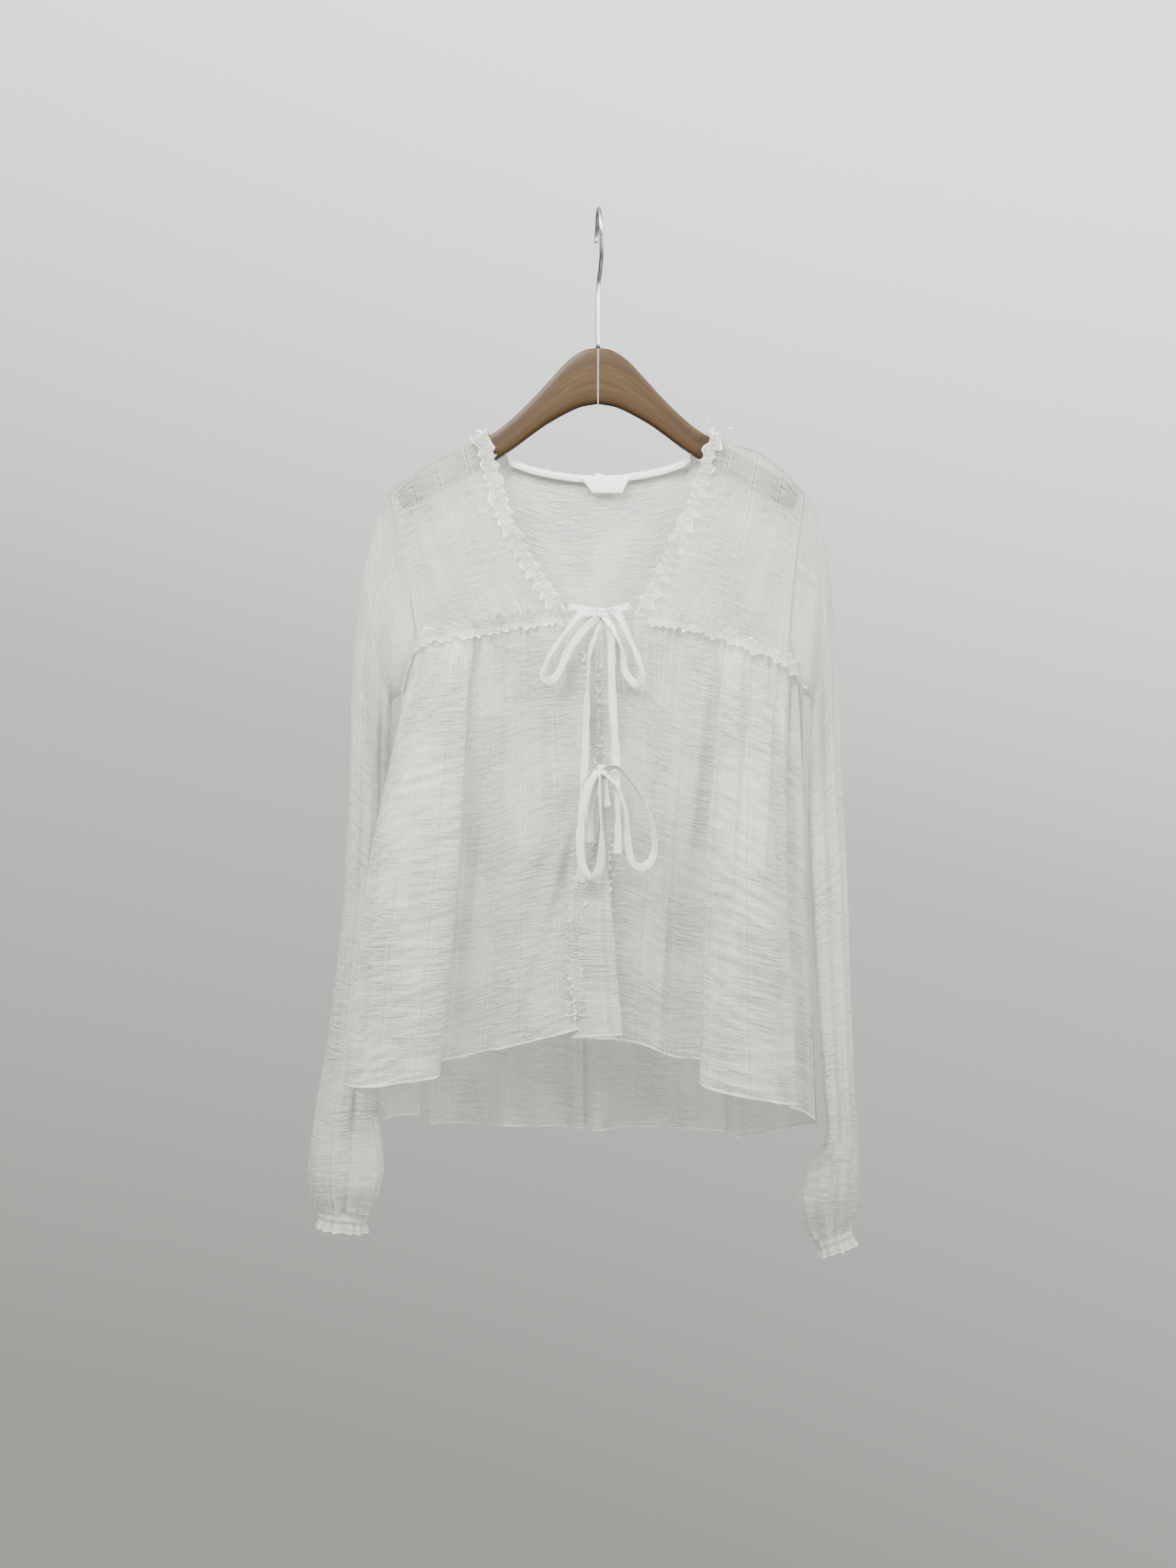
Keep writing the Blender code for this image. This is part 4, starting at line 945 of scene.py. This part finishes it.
def sleeve_surface(hand, rings, creases, seed):
    """From the armhole down through the rings, with gathers that grow towards the cuff."""
    middles = [ring_middle(ring) for ring in rings]

    def surface(s, v):
        turn = 2 * pi * s
        points = [armhole_point(hand, turn)]
        for k, ring in enumerate(rings):
            drawn_in = max(0.0, ((k + 1) / len(rings) - CUFF_GATHER_START) / (1 - CUFF_GATHER_START))
            ripple = CUFF_GATHER_DEPTH * drawn_in * cos(CUFF_GATHERS * turn)
            points.append(ring_point(ring, turn, 1 + ripple))
        place = along(points, v)
        out = place - along(middles, v)
        out.z = 0
        out.normalize()
        fine = cos(FINE_GATHERS * turn + waved(FINE_GATHER_DRIFT, s, v, seed))
        fine *= FINE_GATHER_DEPTH * grown(v, *FINE_GATHER_RUN)
        waves = waved(SLEEVE_WAVES, cos(turn), v + sin(turn) * SLEEVE_WAVE_TILT, seed)
        down = v * SLEEVE_CRINKLE_DOWN + seed
        crinkle = rumple(cos(turn), sin(turn), SLEEVE_CRINKLE_ROUND, SLEEVE_CRINKLE_ROUND, down)
        creased = crease_lift(creases, s, v) * SLEEVE_CREASE_SHARE + waves + SLEEVE_CRINKLE * crinkle
        return place + out * (grown(v, *SLEEVE_FREE) * creased + fine)
    return surface


SLEEVES = (
    ("left", -1, SLEEVE_LEFT, CREASES_SLEEVE_LEFT, SLEEVE_LEFT_FLAT, 2.2),
    ("right", 1, SLEEVE_RIGHT, CREASES_SLEEVE_RIGHT, SLEEVE_RIGHT_FLAT, 5.9),
)
sleeve_cotton = sheer_cotton("sheer_cotton_sleeve", True, SLEEVE_HEM)
for side, hand, rings, creases, flat, seed in SLEEVES:
    surface = sleeve_surface(hand, rings, creases, seed)
    sleeve = bent_grid("sleeve_cloth_" + side, surface, SLEEVE_SPANS, flat, hand, tube=True)
    fit_cloth(sleeve, "sleeve_" + side, flat, sleeve_cotton)

# Cuffs: elastic sewn round the sleeve end, which draws it into fine gathers, with the last
# 8 mm of the cotton left free below it as a small frill.
CuffStep = namedtuple("CuffStep", "down size ripple")
CUFF_STEPS = rows(CuffStep, (0.8, 0.98, 0.06), (4, 0.92, 0.05), (7, 0.95, 0.04), (10, 0.88, 0.06),
                  (14, 0.92, 0.11), (18, 0.96, 0.14))
CUFF_WAVES = 13
CUFF_DRIFT = Waves(2.4, 2, 2)
CUFF_UNEVEN = Waves(0.7, 3, 3)
CUFF_SMALL_WAVE = 0.02
CUFF_END_WAVE = 1.6
CUFF_FLAT = (140, 20)
CUFF_SPANS = (240, 26)
CUFF_HEM = 0.7


def cuff_surface(ring, seed):
    outer, inner = ring_ends(ring)
    way = (inner - outer).normalized()
    down = Vector((-way.z, 0, way.x))
    down = down if down.z < 0 else -down
    centre = ring_middle(ring)
    profiles = [Vector((step.down, step.size, step.ripple)) for step in CUFF_STEPS]

    def surface(s, v):
        turn = 2 * pi * s
        profile = along(profiles, v)
        wave = cos(CUFF_WAVES * turn + waved(CUFF_DRIFT, cos(turn), sin(turn), seed))
        small = CUFF_SMALL_WAVE * cos(3 * CUFF_WAVES * turn) * (1 - v)
        uneven = waved(CUFF_UNEVEN, cos(turn), sin(turn), seed + 2)
        place = ring_point(ring, turn, 1 + profile.z * (1 + uneven) * wave + small)
        drop = profile.x + CUFF_END_WAVE * v * uneven
        return centre + (place - centre) * profile.y + down * drop
    return surface


cuff_cotton = sheer_cotton("sheer_cotton_cuff", False, CUFF_HEM)
for side, hand, rings, *_ in SLEEVES:
    surface = cuff_surface(rings[-1], hand * 3.3)
    cuff = bent_grid("cuff_cloth_" + side, surface, CUFF_SPANS, CUFF_FLAT, hand, tube=True)
    fit_cloth(cuff, "cuff_" + side, CUFF_FLAT, cuff_cotton)

# Neck binding and label: a folded cotton tape sewn along the inside of the back neck, and a
# plain woven label hung from it. The label is left bare.
BAND_TALL = 6.7
BAND_FLAT = (185, 6.7)
BAND_ENDS = (-84, 86)
BAND_INSET = 2.4
BAND_DROP = 0.5
BAND_BULGE = 0.7
BAND_SPANS = (120, 8)
LABEL_TOP = (Vector((-16, 6.4, -241.5)), Vector((29, 6.4, -241.5)))
LABEL_FOOT = (Vector((-5, 5.6, -256)), Vector((22, 5.6, -256)))
LABEL_BULGE = 0.5
LABEL_WAVE = 0.4
LABEL_FLAT = (40, 15)
LABEL_SPANS = (24, 12)
TAPE_SCALE = (1.2, 1.2, 1)
BAND_WHITES = ("e2e2da", "f2f2ec")
LABEL_WHITES = ("e9e7dc", "f4f2ea")


def band_surface(s, v):
    top = back_top(between(*BAND_ENDS, s))
    bulge = BAND_BULGE * sin(pi * v)
    return Vector((top.x, top.y - BAND_INSET - bulge, top.z - BAND_DROP - v * BAND_TALL))


def label_surface(s, v):
    high, low = LABEL_TOP[0].lerp(LABEL_TOP[1], s), LABEL_FOOT[0].lerp(LABEL_FOOT[1], s)
    place = high.lerp(low, v)
    place.y -= LABEL_BULGE * sin(pi * v) + LABEL_WAVE * sin(2 * pi * s)
    return place


def cotton_tape(name, whites):
    """Plain woven tape: close cotton threads 0.8 mm apart, opaque and matt."""
    made, tree, flat = start_finish(name)
    place = add_node(tree, "Mapping", {0: flat, 3: TAPE_SCALE})
    weave = add_node(tree, "TexChecker", {"Vector": place, "Scale": 1})
    cloud = add_node(tree, "TexNoise", {"Vector": flat, "Scale": 0.3, "Detail": 4})
    colour = add_node(tree, "Mix", {0: cloud, 6: linear(whites[0]), 7: linear(whites[1])}, data_type="RGBA")
    relief = add_node(tree, "Bump", {"Height": weave.outputs[1], "Strength": 0.3, "Distance": 0.0003})
    set_inputs(tree, tree.nodes["Principled BSDF"], {
        "Base Color": colour.outputs[2], "Normal": relief, "Roughness": 0.88,
        "Specular IOR Level": 0.25, "Sheen Weight": 0.1})
    return made


TRIM_WALL = 0.5
band = bent_grid("neck_tape", band_surface, BAND_SPANS, BAND_FLAT, -1)
label = bent_grid("blank_label", label_surface, LABEL_SPANS, LABEL_FLAT, -1)
for piece, node, finish in ((band, "neck_band", cotton_tape("cotton_binding", BAND_WHITES)),
                            (label, "neck_label", cotton_tape("woven_label_bare", LABEL_WHITES))):
    fit_piece(piece, node, finish)
    wall = piece.modifiers.new("cloth_wall", "SOLIDIFY")
    wall.thickness = TRIM_WALL * MM
    wall.offset = 0

# Frills: bias strips of the same cotton with both edges overlocked, gathered along a stitched
# middle line and sewn round the neck, over the yoke seams and down the front edges.
FRILL_CLEAR = 1.97
FRILL_WAVE = 1.9
FRILL_SAMPLES = 14
FRILL_SPAN = 20
FRILL_HEM = 1.4
FRILL_COVER = (0.5, 0.72)
FRILL_SCALLOP = 0.42
FRILL_SWAY = 1.5
FRILL_SHIVER = Waves(0.5, 2.2, 1)
# The size of each wave: the least, what chance adds, and the bunching at the frill's end
FRILL_LEAST = 0.35
FRILL_UNEVEN = Waves(1.7, 0.55, 1)
FRILL_BUNCH = 0.9
FRILL_BUNCH_END = 0.04
FRILL_DRIFT = Waves(0.75, 0.6, 1)
FRILL_RISE = 1.6
FRILL_LIFT = 0.3
FRILL_REACH = 0.85
FAR_EDGE = 31
NECK_FRILL_HALF = 8.8
EDGE_FRILL_HALF = 7.4
EDGE_FRILL_WAVE = 0.8
YOKE_FRILL_LIFT = 2.0
PLEAT_DEPTH = 0.35
PLEAT_TURNS = 2.9
CURL_START = 0.78
CURL_TALL = 2.2
CURL_DRAWS_IN = 0.06
CURL_LAG = 0.6
SCALLOP_LAG = 1.1
PATH_STEPS = 160
PATH_STEP = 0.004


def surface_frame(surface, path, t, outward):
    """Point, direction across the path and outward normal on a cloth surface at path share t."""
    s, v = path(t)
    ahead = surface(*path(min(t + PATH_STEP, 1.0))) - surface(*path(max(t - PATH_STEP, 0.0)))
    over_s = surface(min(s + PATH_STEP, 1.0), v) - surface(max(s - PATH_STEP, 0.0), v)
    over_v = surface(s, min(v + PATH_STEP, 1.0)) - surface(s, max(v - PATH_STEP, 0.0))
    out = over_s.cross(over_v).normalized() * outward
    return surface(s, v), out.cross(ahead.normalized()).normalized(), out


def even_shares(surface, path, count):
    """Path shares that cut the path into equal lengths on the surface, and its length."""
    places = [surface(*path(k / PATH_STEPS)) for k in range(PATH_STEPS + 1)]
    lengths = [0.0]
    for a, b in zip(places, places[1:]):
        lengths.append(lengths[-1] + (b - a).length)
    shares, k = [], 0
    for j in range(count + 1):
        wanted = lengths[-1] * j / count
        while k < PATH_STEPS - 1 and lengths[k + 1] < wanted:
            k += 1
        shares.append((k + (wanted - lengths[k]) / (lengths[k + 1] - lengths[k])) / PATH_STEPS)
    return shares, lengths[-1]


def frill_path(plan):
    """A straight line on the flat cloth, from the frill's start to its end."""
    def path(t):
        return between(plan.start[0], plan.end[0], t), between(plan.start[1], plan.end[1], t)
    return path


def frill_surface(plan, seed):
    """The gathered strip: pleated at its middle, with two edges that wave and curl on their own."""
    count = plan.waves * FRILL_SAMPLES
    path = frill_path(plan)
    shares, length = even_shares(plan.surface, path, count)
    frames = [surface_frame(plan.surface, path, share, plan.outward) for share in shares]

    def strip(s, v):
        here, across, out = frames[min(int(s * count + 0.5), count)]
        side = 1 - 2 * v
        reach = abs(side)
        far = side <= 0
        edge = FAR_EDGE if far else 0
        k = s * plan.waves
        phase = 2 * pi * (k + waved(FRILL_DRIFT, k, edge, seed)) + (pi if far else 0)
        size = FRILL_LEAST + abs(waved(FRILL_UNEVEN, k, edge, seed + 9))
        size += FRILL_BUNCH * exp(-((1 - s) / FRILL_BUNCH_END) ** 2)
        height = plan.wave * size * (1 + cos(phase)) * reach ** FRILL_RISE + FRILL_LIFT * reach
        height += plan.far_lift * reach if far else 0
        curl = max(0.0, reach - CURL_START) / (1 - CURL_START)
        curl_size = CURL_TALL * size * max(0.0, sin(phase + CURL_LAG))
        pleat = PLEAT_DEPTH * (1 - reach) * cos(PLEAT_TURNS * phase)
        scallop = FRILL_SCALLOP * size * sin(phase + SCALLOP_LAG) * reach ** 2
        width = plan.half * side * (FRILL_REACH + scallop - CURL_DRAWS_IN * curl_size * curl ** 2)
        sway = FRILL_SWAY * (size * sin(phase) + waved(FRILL_SHIVER, k, edge, seed + 3)) * reach ** 2
        lift = FRILL_CLEAR + height + pleat + curl_size * curl * (plan.wave / FRILL_WAVE)
        return here + out * lift + across * width + out.cross(across) * sway
    return strip, length, count


FrillPlan = namedtuple("FrillPlan", "node surface start end half wave waves outward far_lift rests_on")
yoke_left_base, yoke_right_base = yoke_surface(YOKE_LEFT), yoke_surface(YOKE_RIGHT)
NECK_FRILL = (NECK_FRILL_HALF, FRILL_WAVE)
EDGE_FRILL = (EDGE_FRILL_HALF, EDGE_FRILL_WAVE)
FRILLS = rows(
    FrillPlan,
    ("neck_ruffle_left", yoke_left_base, (0.05, 0.97), (0.05, 0.03), *NECK_FRILL, 16, 1, 0,
     "yoke_cloth_left"),
    ("neck_ruffle_right", yoke_right_base, (0.05, 0.97), (0.05, 0.03), *NECK_FRILL, 16, -1, 0,
     "yoke_cloth_right"),
    ("neck_ruffle_back", back_base, (0.29, 0.12), (0.72, 0.12), *NECK_FRILL, 17, 1, 0, "back_cloth"),
    ("yoke_ruffle_left", front_left, (0.93, 0), (0.03, 0), *NECK_FRILL, 21, -1, YOKE_FRILL_LIFT,
     "front_cloth_left"),
    ("yoke_ruffle_right", front_right, (0.75, 0), (0.03, 0), *NECK_FRILL, 22, 1, YOKE_FRILL_LIFT,
     "front_cloth_right"),
    ("edge_ruffle_left", front_left, (0.988, 0.08), (0.988, 0.97), *EDGE_FRILL, 52, -1, 0,
     "front_cloth_left"),
    ("edge_ruffle_right", front_right, (0.985, 0.08), (0.985, 0.97), *EDGE_FRILL, 52, 1, 0,
     "front_cloth_right"),
)
FRILL_CUT = 1.9
FRILL_GATHERED = 1.28
EDGE_GATHERED = 1.12
for number, plan in enumerate(FRILLS):
    strip, length, count = frill_surface(plan, 3.7 * number + 1)
    fullness = EDGE_GATHERED if plan.half == EDGE_FRILL_HALF else FRILL_GATHERED
    flat = (length * fullness, FRILL_CUT * plan.half)
    # Both edges of each frill take the pure white of the overlocked edge, partly painted highlight
    finish = sheer_cotton("sheer_cotton_" + plan.node, False, FRILL_HEM, *FRILL_COVER, two_hems=flat[1])
    spans = (count, FRILL_SPAN)
    frill = bent_grid(plan.node.replace("ruffle", "frill"), strip, spans, flat, plan.outward)
    fit_cloth(frill, plan.node, flat, finish)

# Ties: narrow strips of the same cotton, folded in four and stitched flat, knotted in two
# bows down the front. The ends hang free, and the neck binding runs into the upper knot.
TIE_WIDE = 6.8
TIE_THICK = 0.5
TIE_EDGE = 0.8
TIE_CORNER = 3
TIE_CUP = Waves(0.35, 6, 1)
TIE_CREASE = Waves(0.18, 34, 1.5)
TIE_SWELL = Waves(0.2, 22, 1)
TIE_WANDER = Waves(0.3, 11, 1)
KNOT_TOP = (3.5, -25, -369)
KNOT_LOW = (3, -40.9, -510)
KNOT_SIZE = (11.5, 10, 10.5)
KNOT_TUCK = 1.5
KNOT_WRAPS = 3
KNOT_GROOVE = 0.22
KNOT_FULL = 0.95
KNOT_FIT = 0.94
KNOT_SPANS = (40, 30)
KNOT_FLAT = (45, 20)
KNOT_WHITES = ("e2e2db", "fafaf7")
TIE_WHITES = ("dfe0d8", "ffffff")
TIE_COVER = 0.88
TIE_AROUND = 20
TIE_STEP = 0.01
# Each tie: its knot, the way it leaves it, the points that it runs through, the way it comes
# back where it is a loop, its rows of faces, and how far it turns about its length along the way
TiePlan = namedtuple("TiePlan", "node knot way route back rows leans")
TIES = rows(
    TiePlan,
    ("neck_tie_left", KNOT_TOP, (-1, 0.3, 0.2),
     ((-9, -24, -366.2), (-18, -23.6, -364.4), (-27, -21.5, -363)),
     None, 24, (0.1, 0.3, 0.1)),
    ("neck_tie_right", KNOT_TOP, (1, 0.35, 0.2),
     ((15, -24.4, -366.2), (22, -23.8, -364), (29, -21.8, -362)),
     None, 24, (0.2, -0.3, 0.1)),
    ("loop_top_left", KNOT_TOP, (-1, -0.25, 0.25),
     ((-16, -31, -371), (-30, -32, -387), (-44, -33, -408), (-49.5, -33, -424), (-43, -33, -431),
      (-35, -33, -422), (-26, -32, -402), (-12, -31.5, -384)),
     (-0.6, -0.4, -0.8), 130, (0.1, 0.7, 1.1, 0.3, -0.3, -0.2, 0.4)),
    ("loop_top_right", KNOT_TOP, (1, -0.25, 0.25),
     ((15.5, -28.5, -368), (21, -31, -376), (28, -32, -392), (37, -32, -413), (40, -32, -427),
      (33, -32, -433), (24, -32, -421), (22, -32, -403), (15, -31.5, -386)),
     (0.55, -0.45, -0.8), 130, (0.5, -0.5, -0.9, -0.1, 0.9, 0.6)),
    ("tail_top_left", KNOT_TOP, (-0.35, 0.25, -1),
     ((-3.5, -27, -388), (-8, -30.5, -408), (-10, -33, -435), (-11, -35, -470), (-12, -38, -505),
      (-14, -41, -545), (-15, -43, -580), (-15, -43, -611)),
     None, 120, (0.3, 0.9, 1.2, 0.5, -0.1, -0.3, 0.1)),
    ("tail_top_right", KNOT_TOP, (0.6, 0.2, -0.9),
     ((10.5, -27.5, -388), (12, -31, -405), (12.5, -34.5, -440), (14.5, -38, -480), (16, -42, -510),
      (17, -46, -548), (17, -50, -585)),
     None, 110, (0.1, 0.5, -0.2, 0.3, 0.9, 0.2)),
    ("loop_low_left", KNOT_LOW, (-0.8, -0.4, -0.3),
     ((-8, -46, -522), (-13, -48, -542), (-16, -49, -566), (-15, -49, -590), (-7, -49, -606),
      (1, -49, -596), (3, -49, -572), (2, -47.5, -545), (1.5, -46, -528)),
     (-0.1, -0.45, -1), 140, (0.5, 0.1, -0.2, 0.0, 0.4, 1.1, 1.25, 0.9)),
    ("loop_low_right", KNOT_LOW, (1, -0.5, 0.3),
     ((14.5, -46.5, -507.5), (21, -47.5, -511), (31, -47, -523), (40, -46, -538), (48, -46, -562),
      (49, -46, -584), (41, -46, -596), (30, -47, -592), (26, -48, -572), (24.5, -49, -548),
      (18, -48.5, -527), (13, -47, -520)),
     (0.75, -0.6, -0.75), 150, (0.7, 1.1, 1.15, 1.0, 0.2, 0.1, 1.0, 1.2, 1.0)),
    ("tail_low_left", KNOT_LOW, (-0.5, 0.2, -1), ((-5, -39.5, -530), (-7.5, -41, -552), (-7.5, -43, -575)),
     None, 50, (0.6, 0.2, -0.2)),
    ("tail_low_right", KNOT_LOW, (0.35, 0.1, -1), ((7, -41, -528), (8, -43.5, -543)),
     None, 40, (0.4, 1.0, 0.6)),
)


def leave(middle, way):
    """Where a tie that leaves the knot in this direction starts, tucked just inside its wraps."""
    aim = Vector(way).normalized()
    reach = 1 / sqrt(sum((2 * a / size) ** 2 for a, size in zip(aim, KNOT_SIZE)))
    return Vector(middle) + aim * (reach - KNOT_TUCK)


def tie_surface(points, leans, seed):
    """A flat tube along the route, turned about it by these angles, cupped and creased."""
    turns = [Vector((lean, 0, 0)) for lean in leans]

    def surface(s, v):
        ahead = along(points, min(v + TIE_STEP, 1)) - along(points, max(v - TIE_STEP, 0))
        wide = ahead.cross(Vector((0, 1, 0))).normalized()
        thick = ahead.cross(wide).normalized()
        lean = along(turns, v).x + waved(TIE_WANDER, v, 0, seed + 2)
        wide, thick = wide * cos(lean) + thick * sin(lean), thick * cos(lean) - wide * sin(lean)
        turn = 2 * pi * s
        cup = waved(TIE_CUP, v, 0, seed + 5) * (1 - 2 * cos(turn) ** 2)
        lift = TIE_THICK / 2 * squared(sin(turn), TIE_CORNER) + cup
        lift += waved(TIE_CREASE, v, cos(turn), seed + 7)
        half = TIE_WIDE / 2 * (1 + waved(TIE_SWELL, v, 0, seed + 8))
        return along(points, v) + wide * half * squared(cos(turn), TIE_CORNER) + thick * lift
    return surface


def knot_surface(middle):
    """The wrapped knot: a rounded ball, ridged by the wavy grooves of its wraps."""
    def surface(s, v):
        turn, tilt = 2 * pi * s, pi * v
        groove = cos(KNOT_WRAPS * tilt + 2.2 * sin(turn + 0.6) + sin(2 * turn)) * sin(tilt)
        ball = Vector((sin(tilt) * cos(turn), sin(tilt) * sin(turn), cos(tilt)))
        place = ball * Vector(KNOT_SIZE) / 2
        return Vector(middle) + place * (KNOT_FULL + KNOT_GROOVE * groove) * KNOT_FIT
    return surface


def tie_strip():
    """The tie's cloth: sheer between its two stitched edges, which are folded thick and white."""
    made, tree, flat = start_finish("cotton_tie_folded")
    across = add_node(tree, "SeparateXYZ", {0: flat})
    from_edge = add_node(tree, "Math", (across, TIE_WIDE / 2), operation="PINGPONG")
    folded = add_node(tree, "MapRange", (from_edge, TIE_EDGE, TIE_EDGE * 1.6, 1, 0))
    place = add_node(tree, "Mapping", {0: flat, 3: (0.3, 0.45, 1)})
    creases = add_node(tree, "TexNoise", {"Vector": place, "Scale": 1, "Detail": 4, "Distortion": 0.6})
    whites = {6: linear(TIE_WHITES[0]), 7: linear(TIE_WHITES[1])}
    colour = add_node(tree, "Mix", {0: folded, **whites}, data_type="RGBA")
    cover = add_node(tree, "MapRange", {0: folded, 3: TIE_COVER, 4: 1.0})
    height = add_node(tree, "Math", (creases, 2.0, folded), operation="MULTIPLY_ADD")
    relief = add_node(tree, "Bump", {"Height": height, "Strength": 0.5, "Distance": 0.0006})
    set_inputs(tree, tree.nodes["Principled BSDF"], {
        "Base Color": colour.outputs[2], "Alpha": cover, "Normal": relief, "Roughness": 0.88,
        "Specular IOR Level": 0.25, "Sheen Weight": 0.1})
    return made


tie_cotton = tie_strip()
for number, plan in enumerate(TIES):
    points = [leave(plan.knot, plan.way)] + [Vector(place) for place in plan.route]
    if plan.back:
        points.append(leave(plan.knot, plan.back))
    steps = [along(points, k / plan.rows) for k in range(plan.rows + 1)]
    length = sum((b - a).length for a, b in zip(steps, steps[1:]))
    surface = tie_surface(points, plan.leans, number * 2.1)
    cut = (2 * TIE_WIDE, length)
    tie = bent_grid("tie_" + plan.node, surface, (TIE_AROUND, plan.rows), cut, -1, tube=True)
    close_ends(tie)
    fit_piece(tie, plan.node, tie_cotton)
knot_cotton = cotton_tape("cotton_knot_folded", KNOT_WHITES)
for node, middle in (("knot_top", KNOT_TOP), ("knot_low", KNOT_LOW)):
    knot = bent_grid("tie_" + node, knot_surface(middle), KNOT_SPANS, KNOT_FLAT, 1, tube=True)
    fit_piece(knot, node, knot_cotton)
